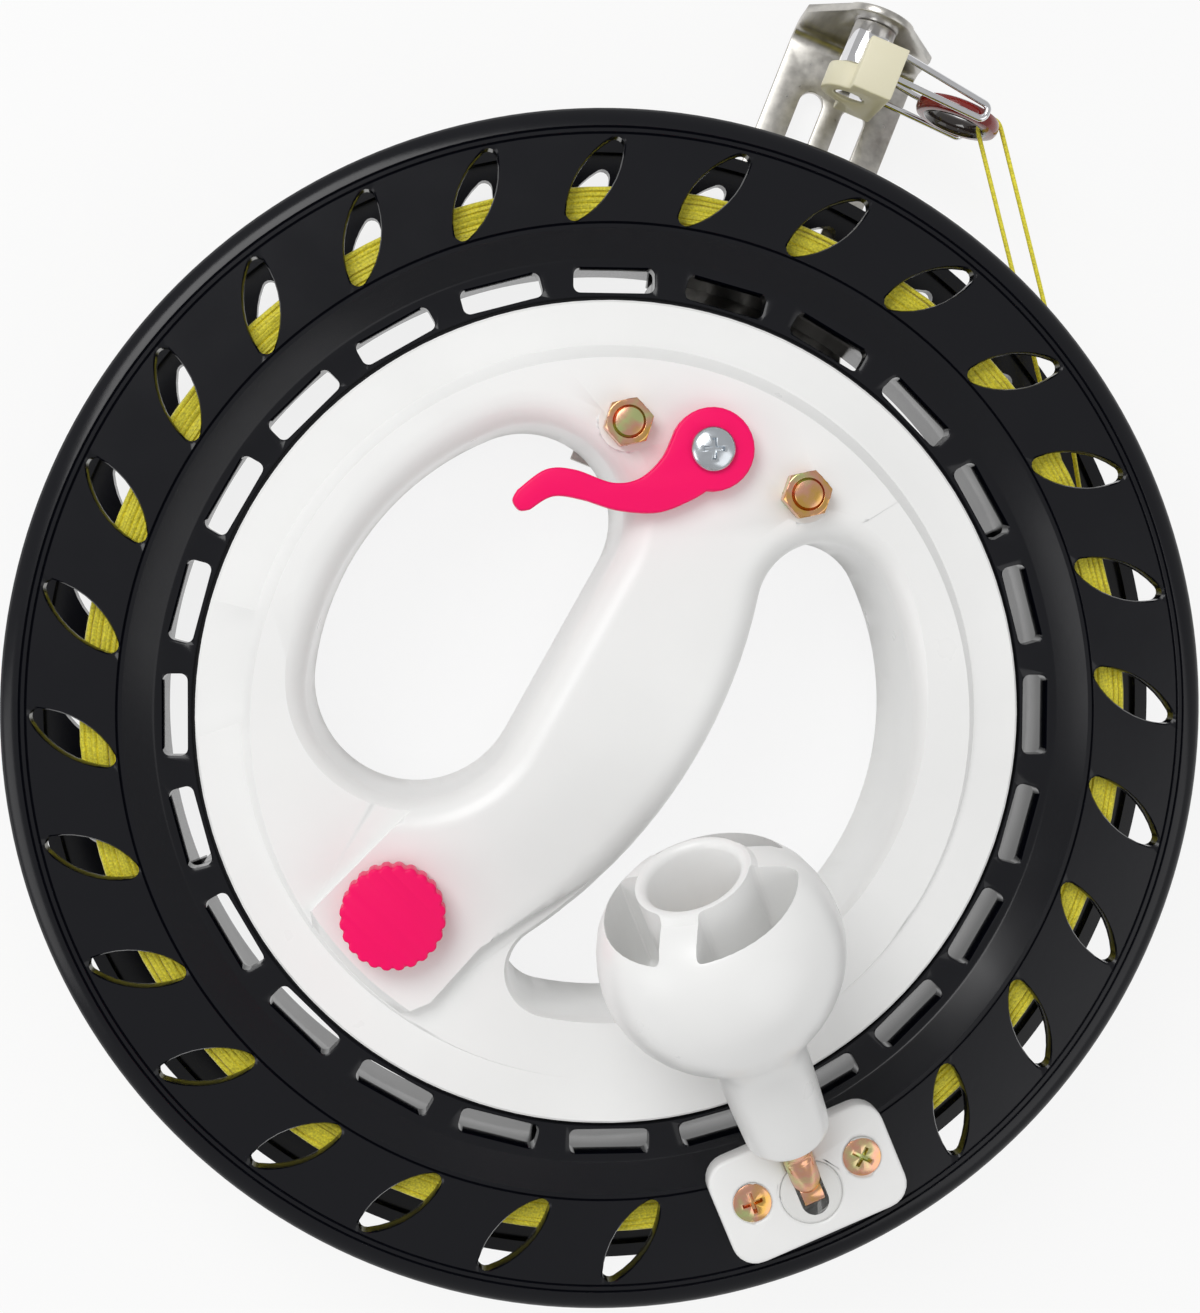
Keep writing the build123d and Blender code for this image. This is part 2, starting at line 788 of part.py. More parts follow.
# Rod: flat eye, neck, shoulder inside the stem and threaded end
rod_full = 9.5
rod_end = 57.0
with BuildPart() as crank_rod:
    with BuildSketch(pin_plane.offset(-eye_t / 2)):
        Circle(eye_r)
    extrude(amount=eye_t)
    with BuildSketch(crank_plane(0)):
        Rectangle(eye_t, 2 * rod_r)
    extrude(amount=rod_full)
    with BuildSketch(crank_plane(rod_full)):
        Circle(rod_r)
    extrude(amount=rod_end - rod_full)
    with BuildSketch(crank_plane(stem_end + 2)):
        Circle(3.5)
    extrude(amount=3)
    with BuildSketch(pin_plane.offset(-4)):
        Circle(pin_r + 0.05)
    extrude(amount=8, mode=Mode.SUBTRACT)

# Grip: outline beside its axis, as radius and distance from the stem's end
grip_foot = (6.6, 7.8, 1.2)
grip_arcs = [
    ((8.4, 19.4), (10.0, 23.6), (13.6, 27.4)),
    ((13.6, 27.4), (18.6, 33.4), (21.3, 42.0)),
    ((21.3, 42.0), (20.6, 48.6), (18.2, 54.0)),
    ((18.2, 54.0), (14.6, 58.4), (9.6, 61.0)),
]
grip_bulb_r = 21.3
grip_wall = 3.6
grip_top = 61.0
grip_tube_r = 9.6
grip_tube_bore = 8.0
grip_floor = 36.0
grip_ribs = 3

grip_frame = Plane(origin=crank_plane(stem_end).origin, x_dir=crank_side, z_dir=crank_dir)
grip_section = Plane(origin=grip_frame.origin, x_dir=crank_side, z_dir=grip_frame.y_dir * -1)
with BuildPart() as crank_grip:
    with BuildSketch(grip_section):
        with BuildLine():
            Polyline((0, 0), (grip_foot[0], 0), (grip_foot[1], grip_foot[2]), grip_arcs[0][0])
            for arc in grip_arcs:
                ThreePointArc(*arc)
            Polyline(grip_arcs[-1][-1], (0, grip_top), (0, 0))
        make_face()
    revolve(axis=Axis(grip_frame.origin, grip_frame.z_dir))
    with BuildSketch(grip_frame.offset(grip_floor)):
        Circle(grip_bulb_r - grip_wall)
        Circle(grip_tube_r, mode=Mode.SUBTRACT)
        with PolarLocations(15, grip_ribs):
            Rectangle(14, 4, mode=Mode.SUBTRACT)
    extrude(amount=40, mode=Mode.SUBTRACT)
    with BuildSketch(grip_frame.offset(grip_floor)):
        Circle(grip_tube_bore)
    extrude(amount=40, mode=Mode.SUBTRACT)
    with BuildSketch(grip_frame):
        Circle(rod_r + running_gap)
    extrude(amount=60, mode=Mode.SUBTRACT)
    with BuildSketch(grip_frame):
        Circle(3.6)
    extrude(amount=5.1, mode=Mode.SUBTRACT)

# Washer and nut that hold the grip on the rod
nut_at = stem_end + grip_floor + 0.1
with BuildPart() as grip_washer:
    with BuildSketch(crank_plane(nut_at)):
        Circle(5.5)
        Circle(rod_r, mode=Mode.SUBTRACT)
    extrude(amount=1)

with BuildPart() as grip_nut:
    with BuildSketch(crank_plane(nut_at + 1)):
        RegularPolygon(4.6, 6)
        Circle(rod_r, mode=Mode.SUBTRACT)
    extrude(amount=3.6)

# Bracket and its bolts
strip_slot = (88.0, 128.5)
bend_u, bend_z = 136.0, bracket_z[1] + 3.0
with BuildPart() as guide_bracket:
    with BuildSketch(upright(guide_angle, bracket_z[0])):
        Polygon(
            (43, -23),
            (72, -23),
            (104, -strip_half),
            (bend_u, -strip_half),
            (bend_u, strip_half),
            (104, strip_half),
            (72, 23),
            (43, 23),
            align=None,
        )
        for side in (-4.5, 4.5):
            with Locations(((strip_slot[0] + strip_slot[1]) / 2, side)):
                SlotOverall(strip_slot[1] - strip_slot[0], 4.8, mode=Mode.SUBTRACT)
        with Locations((bolts_u, bolts_t), (bolts_u, -bolts_t)):
            Circle(bolt_r, mode=Mode.SUBTRACT)
    extrude(amount=bracket_z[1] - bracket_z[0])
    side_plane = Plane(origin=(0, 0, 0), x_dir=(*polar(1, guide_angle), 0), z_dir=(*polar(1, guide_angle - 90), 0))
    with BuildSketch(side_plane.offset(-strip_half)):
        with BuildLine():
            CenterArc((bend_u, bend_z), tab_in - bend_u, -90, 90)
            CenterArc((bend_u, bend_z), tab_out - bend_u, -90, 90)
            Line((bend_u, bracket_z[0]), (bend_u, bracket_z[1]))
            Line((tab_in, bend_z), (tab_out, bend_z))
        make_face()
    extrude(amount=2 * strip_half)
    tab_plane = Plane(origin=(*polar(tab_in, guide_angle), 0), x_dir=(*polar(1, guide_angle - 90), 0),
                      z_dir=(*polar(-1, guide_angle), 0))
    with BuildSketch(tab_plane):
        with BuildLine():
            Polyline((-6.5, tab_top - 5), (-strip_half, 16), (-strip_half, bend_z), (strip_half, bend_z))
            Polyline((strip_half, bend_z), (strip_half, 16), (6.5, tab_top - 5))
            ThreePointArc((6.5, tab_top - 5), (0, tab_top), (-6.5, tab_top - 5))
        make_face()
        with Locations((0, post_z)):
            Circle(guide_pin_r, mode=Mode.SUBTRACT)
    extrude(amount=tab_in - tab_out)


def across(u):
    """Plane square to the guide's axis at a distance along the bracket: X is sideways, Y is up."""
    return Plane(origin=(*polar(u, guide_angle), 0), x_dir=(*polar(1, guide_angle - 90), 0),
                 z_dir=(*polar(-1, guide_angle), 0))


def beside(height):
    """Level plane whose X axis runs along the bracket and whose Y axis is sideways."""
    return Plane(origin=(0, 0, height), x_dir=(*polar(1, guide_angle), 0), z_dir=(0, 0, -1))


with BuildPart() as bracket_bolts:
    with BuildSketch(level(0.4)):
        with Locations(bolt_points):
            RegularPolygon(4.3, 6)
    extrude(amount=bracket_z[0] - 0.4)
    with BuildSketch(level(bracket_z[0])):
        with Locations(bolt_points):
            Circle(bolt_r)
    extrude(amount=plateau_top + 5 - bracket_z[0])

with BuildPart() as bracket_nuts:
    with BuildSketch(level(plateau_top)):
        with Locations(bolt_points):
            RegularPolygon(4.6, 6, rotation=12)
            Circle(bolt_r, mode=Mode.SUBTRACT)
    extrude(amount=4)

with BuildPart() as guide_post:
    with BuildSketch(across(tab_out)):
        with Locations((0, post_z)):
            Circle(guide_pin_r)
    extrude(amount=tab_out - 125.3)
    with BuildSketch(across(tab_out + 1)):
        with Locations((0, post_z)):
            Circle(3.6)
    extrude(amount=1)
    with BuildSketch(across(tab_in)):
        with Locations((0, post_z)):
            Circle(guide_post_r)
    extrude(amount=tab_in - 130.4)
    with BuildSketch(across(126.3)):
        with Locations((0, post_z)):
            Circle(2.9)
    extrude(amount=1)

# Wires that hold the ring, and the bush with its block that swings about the post
block_t = (-1.0, 6.6)
block_z = (12.0, 32.0)
block_u = (125.0, 135.0)
wire_z = (ring_z - ring_r[2] - wire_r, ring_z + ring_r[2] + wire_r)
wire_points = [(134.4, 3.8), (131.6, 24.6), (128.8, 24.4), (129.6, 3.8)]


def hairpin(height):
    """One bent wire, level at a height."""
    with BuildPart() as pin:
        with BuildLine(beside(height)) as path:
            FilletPolyline(*wire_points, radius=1.2)
        wire = path.wires()[0]
        with BuildSketch(Plane(origin=wire @ 0, z_dir=wire % 0)):
            RegularPolygon(wire_r, 6)
        sweep(path=wire)
    return pin.part


with BuildPart() as guide_wire:
    for height in wire_z:
        add(hairpin(height))

with BuildPart() as guide_bush:
    with BuildSketch(across(130)):
        with Locations((0, post_z)):
            Circle(5.7)
    extrude(amount=5)
    with BuildSketch(across(block_u[1])):
        with Locations((sum(block_t) / 2, sum(block_z) / 2)):
            Rectangle(block_t[1] - block_t[0], block_z[1] - block_z[0])
    extrude(amount=block_u[1] - block_u[0])
    with BuildSketch(across(block_u[1])):
        with Locations((0, post_z)):
            Circle(guide_post_r + 0.1)
    extrude(amount=block_u[1] - 130, mode=Mode.SUBTRACT)
    with BuildSketch(across(block_u[1])):
        with Locations((0, post_z)):
            Circle(guide_pin_r + running_gap)
    extrude(amount=20, mode=Mode.SUBTRACT)
    with BuildSketch(across(126.5)):
        with Locations((0, post_z)):
            Circle(3.1)
    extrude(amount=5, mode=Mode.SUBTRACT)
    add(guide_wire.part, mode=Mode.SUBTRACT)

with BuildPart() as guide_ring_frame:
    with BuildSketch(across(ring_at[0] + ring_t / 2)):
        with Locations((ring_at[1], ring_z)):
            Circle(ring_r[2])
    extrude(amount=ring_t)
    chamfer(guide_ring_frame.edges(), 0.8)
    with BuildSketch(across(ring_at[0] + ring_t / 2)):
        with Locations((ring_at[1], ring_z)):
            Circle(ring_r[1])
    extrude(amount=ring_t, mode=Mode.SUBTRACT)

with BuildPart() as guide_ring_liner:
    with BuildSketch(across(ring_at[0] + ring_t / 2)):
        with Locations((ring_at[1], ring_z)):
            Circle(ring_r[1])
            Circle(ring_r[0], mode=Mode.SUBTRACT)
    extrude(amount=ring_t)
    chamfer(guide_ring_liner.edges().filter_by(GeomType.CIRCLE).sort_by(SortBy.RADIUS)[:2], 0.7)

# Free line: up from the winding, round the ring's outer side and back to the winding
loop_r = 2.25
line_z = ring_z
loop_t = ring_at[1] + (ring_r[0] + ring_r[2]) / 2
out_dir = Vector(*polar(1, guide_angle), 0)
side_dir = Vector(*polar(1, guide_angle - 90), 0)
loop_at = out_dir * ring_at[0] + side_dir * loop_t + Vector(0, 0, line_z)
lay_r = wound_r + line_d / 2 + slack
loop_reach = hypot(ring_at[0], loop_t)
strand_lean = asin((lay_r + loop_r) / loop_reach)
loop_angle = atan2(loop_at.Y, loop_at.X)
strand_dir = Vector(cos(loop_angle + pi + strand_lean), sin(loop_angle + pi + strand_lean), 0)
strand_side = Vector(-strand_dir.Y, strand_dir.X, 0)
foot = loop_reach * cos(strand_lean)
strand_in = loop_at - strand_side * loop_r
strand_out = loop_at + strand_side * loop_r
line_start = strand_in + strand_dir * foot
bend_back = 30.0
line_bend = strand_out + strand_dir * (foot - bend_back)
bend_r, bend_angle = hypot(line_bend.X, line_bend.Y), atan2(line_bend.Y, line_bend.X)
line_end = Vector(
    lay_r * cos(bend_angle - acos(lay_r / bend_r)),
    lay_r * sin(bend_angle - acos(lay_r / bend_r)),
    line_z,
)
bend_turn = (line_bend - strand_out).get_angle(line_end - line_bend)
bend_run = (line_end - line_bend).length
corner_a = strand_in - strand_dir * loop_r
corner_b = strand_out - strand_dir * loop_r
line_radii = [0.999 * loop_r, 0.999 * loop_r, 0.45 * bend_run / tan(radians(bend_turn / 2))]
line_route = [line_start, corner_a, corner_b, line_bend, line_end]
with BuildPart() as free_line:
    with BuildLine() as line_path:
        FilletPolyline(*line_route, radius=line_radii)
    line_wire = line_path.wires()[0]
    with BuildSketch(Plane(origin=line_wire @ 0, z_dir=line_wire % 0)) as line_section:
        RegularPolygon(line_d / 2, 8)
    sweep(path=line_wire)
line_volume = line_section.sketch.area * line_wire.length
print("free line radii mm:", [round(r, 2) for r in line_radii])
print(f"free line volume {free_line.part.volume:.1f} mm3, section times length {line_volume:.1f} mm3")
print("route mm:", [tuple(round(c, 3) for c in point) for point in line_route])

nodes = {
    "handle_front_shell": handle_front_shell,
    "handle_rear_shell": handle_rear_shell,
    "shell_screws": shell_screws,
    "bearing_inner_race": bearing_inner_race,
    "bearing_outer_race": bearing_outer_race,
    "bearing_balls": bearing_balls,
    "bearing_cage": bearing_cage,
    "brake_shoe": brake_shoe,
    "brake_pad": brake_pad,
    "brake_cam": brake_cam,
    "brake_lever": brake_lever,
    "lever_screw": lever_screw,
    "lever_spring": lever_spring,
    "lock_shoe": lock_shoe,
    "lock_cam": lock_cam,
    "lock_collar": lock_collar,
    "lock_knob": lock_knob,
    "reel_front_half": reel_front_half,
    "reel_rear_half": reel_rear_half,
    "reel_screws": reel_screws,
    "line_core": line_core,
    "line_turns": line_turns,
    "crank_base": crank_base,
    "crank_insert": crank_insert,
    "crank_screws": crank_screws,
    "crank_pin": crank_pin,
    "crank_rod": crank_rod,
    "crank_grip": crank_grip,
    "grip_washer": grip_washer,
    "grip_nut": grip_nut,
    "guide_bracket": guide_bracket,
    "bracket_bolts": bracket_bolts,
    "bracket_nuts": bracket_nuts,
    "guide_post": guide_post,
    "guide_bush": guide_bush,
    "guide_wire": guide_wire,
    "guide_ring_frame": guide_ring_frame,
    "guide_ring_liner": guide_ring_liner,
    "free_line": free_line,
}
for label, builder in nodes.items():
    save(builder, label)
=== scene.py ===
import json
from math import atan2, cos, hypot, pi, radians, sin, tan

import bpy
from bpy.props import FloatProperty, FloatVectorProperty, IntProperty, PointerProperty
from mathutils import Matrix, Vector


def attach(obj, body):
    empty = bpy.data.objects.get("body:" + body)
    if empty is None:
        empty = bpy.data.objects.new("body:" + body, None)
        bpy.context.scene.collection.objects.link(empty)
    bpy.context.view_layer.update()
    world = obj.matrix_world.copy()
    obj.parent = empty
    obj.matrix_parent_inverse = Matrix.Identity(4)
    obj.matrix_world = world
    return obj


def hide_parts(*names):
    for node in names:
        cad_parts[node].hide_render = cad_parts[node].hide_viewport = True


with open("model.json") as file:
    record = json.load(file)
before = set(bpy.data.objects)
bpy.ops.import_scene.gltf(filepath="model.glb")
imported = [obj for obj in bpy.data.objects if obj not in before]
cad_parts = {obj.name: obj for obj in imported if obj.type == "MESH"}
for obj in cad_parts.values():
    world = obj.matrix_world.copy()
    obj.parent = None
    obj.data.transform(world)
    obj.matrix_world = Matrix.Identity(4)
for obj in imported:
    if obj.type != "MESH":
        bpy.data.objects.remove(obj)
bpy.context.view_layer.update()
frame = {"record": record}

bl_info = {
    "name": "Kite line winder",
    "version": (1, 0, 0),
    "blender": (4, 5, 0),
    "location": "3D View > Sidebar > Line winder",
    "description": "Builds the visual pieces of a kite line winder over its CAD frame",
    "category": "Object",
}

MM = 0.001
# With no window, spin turns the other way round its axis
SPIN_SENSE = -1

# Levels and radii of the frame, in millimetres
FRONT = 41.0
BACK = 5.0
WOUND_R = 96.7
GUIDE_ANGLE = radians(68.3)
CRANK_ANGLE = radians(-67.6)
CRANK_RISE = radians(26.0)
PIVOT_R = 94.2
PIVOT_Z = 44.5


# Sizes and colours that a user would change
class WinderSizes(bpy.types.PropertyGroup):
    line_diameter: FloatProperty(
        name="Line diameter", description="Thickness of the line", default=0.0009, unit="LENGTH"
    )
    wound_rows: IntProperty(name="Rows", description="Turns of line side by side", default=26)


class WinderColours(bpy.types.PropertyGroup):
    shell: FloatVectorProperty(
        name="Shell",
        description="White handle and grip",
        default=(0.92, 0.92, 0.91, 1),
        size=4,
        subtype="COLOR",
    )
    reel: FloatVectorProperty(
        name="Reel", description="Black wheel", default=(0.0022, 0.0025, 0.0048, 1), size=4, subtype="COLOR"
    )
    accent: FloatVectorProperty(
        name="Accent", description="Lever and knob", default=(1.0, 0.0, 0.135, 1), size=4, subtype="COLOR"
    )
    line: FloatVectorProperty(
        name="Line", description="Wound line", default=(0.92, 0.82, 0.045, 1), size=4, subtype="COLOR"
    )


# Materials
def new_material(name):
    """Empty Principled material with its noise coordinates."""
    material = bpy.data.materials.new(name)
    material.use_nodes = True
    nodes, links = material.node_tree.nodes, material.node_tree.links
    shader = nodes["Principled BSDF"]
    coords = nodes.new("ShaderNodeTexCoord")
    return material, nodes, links, shader, coords


def noise(nodes, links, coords, scale, detail=3.0, stretch=(1, 1, 1)):
    """Noise over the object's own coordinates, in features per metre."""
    mapping = nodes.new("ShaderNodeMapping")
    mapping.inputs["Scale"].default_value = stretch
    links.new(coords.outputs["Object"], mapping.inputs["Vector"])
    texture = nodes.new("ShaderNodeTexNoise")
    texture.inputs["Scale"].default_value = scale
    texture.inputs["Detail"].default_value = detail
    links.new(mapping.outputs["Vector"], texture.inputs["Vector"])
    return texture


def vary(nodes, links, texture, dark, light, low=0.35, high=0.65):
    """Colour ramp between two close colours."""
    ramp = nodes.new("ShaderNodeValToRGB")
    ramp.color_ramp.elements[0].position = low
    ramp.color_ramp.elements[1].position = high
    ramp.color_ramp.elements[0].color = dark
    ramp.color_ramp.elements[1].color = light
    links.new(texture.outputs["Fac"], ramp.inputs["Fac"])
    return ramp


def spread(nodes, links, texture, low, high):
    """Texture remapped to a range, for roughness."""
    span = nodes.new("ShaderNodeMapRange")
    span.inputs["To Min"].default_value = low
    span.inputs["To Max"].default_value = high
    links.new(texture.outputs["Fac"], span.inputs["Value"])
    return span


def bump(nodes, links, texture, shader, strength, distance):
    raised = nodes.new("ShaderNodeBump")
    raised.inputs["Strength"].default_value = strength
    raised.inputs["Distance"].default_value = distance
    links.new(texture.outputs["Fac"], raised.inputs["Height"])
    links.new(raised.outputs["Normal"], shader.inputs["Normal"])


def shade(colour, factor):
    return (colour[0] * factor, colour[1] * factor, colour[2] * factor, 1.0)


def moulded(name, colour, roughness=(0.25, 0.35), peel=0.12, scatter=0.0, coat=0.0, gloss=0.5):
    """Moulded plastic: faint colour variation, uneven gloss and a fine orange peel."""
    material, nodes, links, shader, coords = new_material(name)
    cloud = noise(nodes, links, coords, 28, 4)
    ramp = vary(nodes, links, cloud, shade(colour, 0.96), shade(colour, 1.0))
    links.new(ramp.outputs["Color"], shader.inputs["Base Color"])
    gloss_range = spread(nodes, links, noise(nodes, links, coords, 90, 5), *roughness)
    links.new(gloss_range.outputs[0], shader.inputs["Roughness"])
    bump(nodes, links, noise(nodes, links, coords, 700, 2), shader, peel, 0.00008)
    shader.inputs["Specular IOR Level"].default_value = gloss
    shader.inputs["Coat Weight"].default_value = coat
    shader.inputs["Coat Roughness"].default_value = 0.08
    shader.inputs["Subsurface Weight"].default_value = scatter
    shader.inputs["Subsurface Radius"].default_value = (0.004, 0.004, 0.004)
    return material


def metal(name, colour, roughness=(0.12, 0.24), stretch=(1, 1, 1), grain=900, depth=0.08, tint=0.9):
    """Metal with a grain that can be stretched into brush lines."""
    material, nodes, links, shader, coords = new_material(name)
    lines = noise(nodes, links, coords, grain, 6, stretch)
    ramp = vary(nodes, links, lines, shade(colour, tint), shade(colour, 1.0), 0.3, 0.7)
    links.new(ramp.outputs["Color"], shader.inputs["Base Color"])
    links.new(spread(nodes, links, lines, *roughness).outputs[0], shader.inputs["Roughness"])
    bump(nodes, links, lines, shader, depth, 0.00005)
    shader.inputs["Metallic"].default_value = 1.0
    return material


def yellow_zinc(name):
    """Yellow zinc plating with its pink and green bloom."""
    material, nodes, links, shader, coords = new_material(name)
    bloom = noise(nodes, links, coords, 180, 3)
    ramp = vary(nodes, links, bloom, (0.75, 0.45, 0.12, 1), (0.62, 0.66, 0.3, 1), 0.36, 0.66)
    pink = ramp.color_ramp.elements.new(0.52)
    pink.color = (0.8, 0.42, 0.3, 1)
    links.new(ramp.outputs["Color"], shader.inputs["Base Color"])
    links.new(spread(nodes, links, bloom, 0.14, 0.3).outputs[0], shader.inputs["Roughness"])
    bump(nodes, links, noise(nodes, links, coords, 1500, 3), shader, 0.1, 0.00005)
    shader.inputs["Metallic"].default_value = 1.0
    return material


def twisted_line(name, colour):
    """Braided line: fine slanted strands and slight wear."""
    material, nodes, links, shader, coords = new_material(name)
    strands = noise(nodes, links, coords, 2600, 4)
    ramp = vary(nodes, links, strands, shade(colour, 0.62), shade(colour, 1.12), 0.3, 0.7)
    links.new(ramp.outputs["Color"], shader.inputs["Base Color"])
    links.new(spread(nodes, links, strands, 0.45, 0.7).outputs[0], shader.inputs["Roughness"])
    bump(nodes, links, strands, shader, 0.4, 0.0001)
    shader.inputs["Sheen Weight"].default_value = 0.2
    return material


MATERIALS = {}


def make_materials():
    """One material for each slot of the record."""
    colours = bpy.context.scene.winder_colours
    chosen = (colours.shell, colours.reel, colours.accent, colours.line)
    shell, reel, accent, line = (tuple(colour) for colour in chosen)
    MATERIALS.update(
        handle_plastic=moulded("white_plastic", shell, (0.24, 0.36), 0.06),
        reel_plastic=moulded("black_plastic", reel, (0.14, 0.26), 0.05, gloss=0.32),
        pink_plastic=moulded("pink_plastic", accent, (0.34, 0.46), 0.15, 0.1, gloss=0.25),
        ivory_nylon=moulded("ivory_nylon", (0.78, 0.74, 0.55, 1), (0.35, 0.5), 0.2, 0.2),
        white_nylon=moulded("white_nylon", (0.82, 0.82, 0.8, 1), (0.35, 0.5), 0.2, 0.1),
        bearing_steel=metal("bearing_steel", (0.6, 0.6, 0.62, 1)),
        stainless=metal("stainless", (0.62, 0.6, 0.56, 1), (0.22, 0.42), (1, 1, 0.15), 700, 0.15, 0.75),
        chrome=metal("chrome", (0.82, 0.82, 0.84, 1), (0.04, 0.1), grain=300, depth=0.03),
        zinc=yellow_zinc("yellow_zinc"),
        screw_steel=metal("screw_steel", (0.66, 0.7, 0.74, 1), (0.15, 0.3), grain=500),
        rubber=moulded("brake_rubber", (0.03, 0.03, 0.03, 1), (0.6, 0.8), 0.4),
        line_yellow=twisted_line("yellow_line", line),
        ring_red=moulded("red_frame", (0.22, 0.012, 0.008, 1), (0.12, 0.25), 0.05, coat=0.4),
        ceramic=moulded("dark_ceramic", (0.03, 0.022, 0.02, 1), (0.05, 0.12), 0.03, coat=0.5),
    )


# Modelling helpers
def deselect():
    if bpy.context.mode != "OBJECT":
        bpy.ops.object.mode_set(mode="OBJECT")
    bpy.ops.object.select_all(action="DESELECT")


def activate(piece):
    deselect()
    piece.select_set(True)
    bpy.context.view_layer.objects.active = piece


def named(name):
    piece = bpy.context.active_object
    piece.name = name
    piece.data.name = name
    return piece


def turned(name, outline, segments=192, closed=True):
    """Ring or solid turned about Z from an outline of (radius, height) points in millimetres."""
    deselect()
    radius, height = outline[0]
    bpy.ops.mesh.primitive_circle_add(vertices=segments, radius=radius * MM)
    piece = named(name)
    bpy.ops.object.mode_set(mode="EDIT")
    bpy.ops.mesh.select_all(action="SELECT")
    bpy.ops.transform.translate(value=(0, 0, height * MM))
    for next_radius, next_height in outline[1:] + (outline[:1] if closed else []):
        bpy.ops.mesh.extrude_edges_move()
        scale = next_radius / radius
        bpy.ops.transform.resize(value=(scale, scale, 1), center_override=(0, 0, 0))
        bpy.ops.transform.translate(value=(0, 0, (next_height - height) * MM))
        radius, height = next_radius, next_height
    bpy.ops.mesh.select_all(action="SELECT")
    bpy.ops.mesh.remove_doubles(threshold=1e-6)
    if not closed:
        bpy.ops.mesh.fill_holes(sides=0)
    bpy.ops.mesh.normals_make_consistent(inside=False)
    bpy.ops.object.mode_set(mode="OBJECT")
    return piece


def plate(name, outline, *levels):
    """Plate drawn vertex by vertex along a closed outline of (x, y) points in millimetres.

    It is then extruded through levels of (height, scale), from the first one on."""
    deselect()
    bpy.ops.mesh.primitive_plane_add(size=MM)
    piece = named(name)
    bpy.ops.object.mode_set(mode="EDIT")
    bpy.ops.mesh.select_all(action="SELECT")
    bpy.ops.mesh.merge(type="CENTER")
    (x, y), (height, scale) = outline[0], levels[0]
    bpy.ops.transform.translate(value=(x * MM, y * MM, height * MM))
    for next_x, next_y in outline[1:] + outline[:1]:
        step = ((next_x - x) * MM, (next_y - y) * MM, 0)
        bpy.ops.mesh.extrude_vertices_move(TRANSFORM_OT_translate={"value": step})
        x, y = next_x, next_y
    bpy.ops.mesh.select_all(action="SELECT")
    bpy.ops.mesh.remove_doubles(threshold=1e-6)
    bpy.ops.mesh.edge_face_add()
    bpy.ops.transform.resize(value=(scale, scale, 1), center_override=(0, 0, height * MM))
    for next_height, next_scale in levels[1:]:
        rise = (0, 0, (next_height - height) * MM)
        bpy.ops.mesh.extrude_region_move(TRANSFORM_OT_translate={"value": rise})
        growth = next_scale / scale
        bpy.ops.transform.resize(value=(growth, growth, 1), center_override=(0, 0, next_height * MM))
        height, scale = next_height, next_scale
    bpy.ops.mesh.select_all(action="SELECT")
    bpy.ops.mesh.normals_make_consistent(inside=False)
    bpy.ops.object.mode_set(mode="OBJECT")
    return piece


def seat(piece, matrix):
    """Move a piece to its place, and keep the place in its mesh."""
    activate(piece)
    piece.matrix_world = matrix
    bpy.ops.object.transform_apply(location=True, rotation=True, scale=True)
    return piece


def repeat(piece, places):
    """A copy of a piece at each place, joined."""
    copies = []
    for place in places:
        copy = piece.copy()
        copy.data = piece.data.copy()
        bpy.context.collection.objects.link(copy)
        copies.append(seat(copy, place))
    bpy.data.objects.remove(piece, do_unlink=True)
    return join(copies)


def join(pieces):
    activate(pieces[0])
    for piece in pieces[1:]:
        piece.select_set(True)
    bpy.ops.object.join()
    return bpy.context.active_object


def cut(piece, tool, operation="DIFFERENCE"):
    """Boolean of a piece with a tool, which is used up."""
    activate(piece)
    knife = piece.modifiers.new("cut", "BOOLEAN")
    knife.operation = operation
    knife.solver = "EXACT"
    knife.object = tool
    bpy.ops.object.modifier_apply(modifier=knife.name)
    bpy.data.objects.remove(tool, do_unlink=True)
    return piece


def soften(piece, width, segments=2, angle=35):
    """Small rounds along sharp edges, and smooth shading."""
    activate(piece)
    if width:
        edge = piece.modifiers.new("edge", "BEVEL")
        edge.width = width * MM
        edge.segments = segments
        edge.limit_method = "ANGLE"
        edge.angle_limit = radians(angle)
        edge.use_clamp_overlap = False
        bpy.ops.object.modifier_apply(modifier=edge.name)
    bpy.ops.object.shade_smooth_by_angle(angle=radians(angle))
    return piece


def bent_wire(name, corners, radius, bend, sides=16):
    """Round wire extruded between corners, given in millimetres, and spun round each bend."""
    deselect()
    corners = [Vector(corner) * MM for corner in corners]
    heading = (corners[1] - corners[0]).normalized()
    bpy.ops.mesh.primitive_circle_add(vertices=sides, radius=radius * MM, fill_type="NGON")
    piece = named(name)
    seat(piece, Matrix.Translation(corners[0]) @ heading.to_track_quat("Z", "Y").to_matrix().to_4x4())
    bpy.ops.object.mode_set(mode="EDIT")
    bpy.ops.mesh.select_all(action="SELECT")
    here = corners[0]
    for corner, after in zip(corners[1:], corners[2:] + [None]):
        if after is None:
            bpy.ops.mesh.extrude_region_move(TRANSFORM_OT_translate={"value": corner - here})
            break
        leaving = (after - corner).normalized()
        turn = heading.angle(leaving)
        reach = bend * MM * tan(turn / 2)
        stop = corner - heading * reach
        axis = heading.cross(leaving).normalized()
        centre = stop + axis.cross(heading) * bend * MM
        bpy.ops.mesh.extrude_region_move(TRANSFORM_OT_translate={"value": stop - here})
        bpy.ops.mesh.spin(steps=8, angle=SPIN_SENSE * turn, center=centre, axis=axis)
        here, heading = corner + leaving * reach, leaving
    bpy.ops.mesh.select_all(action="SELECT")
    bpy.ops.mesh.remove_doubles(threshold=1e-6)
    bpy.ops.mesh.normals_make_consistent(inside=False)
    bpy.ops.object.mode_set(mode="OBJECT")
    return soften(piece, 0, angle=50)


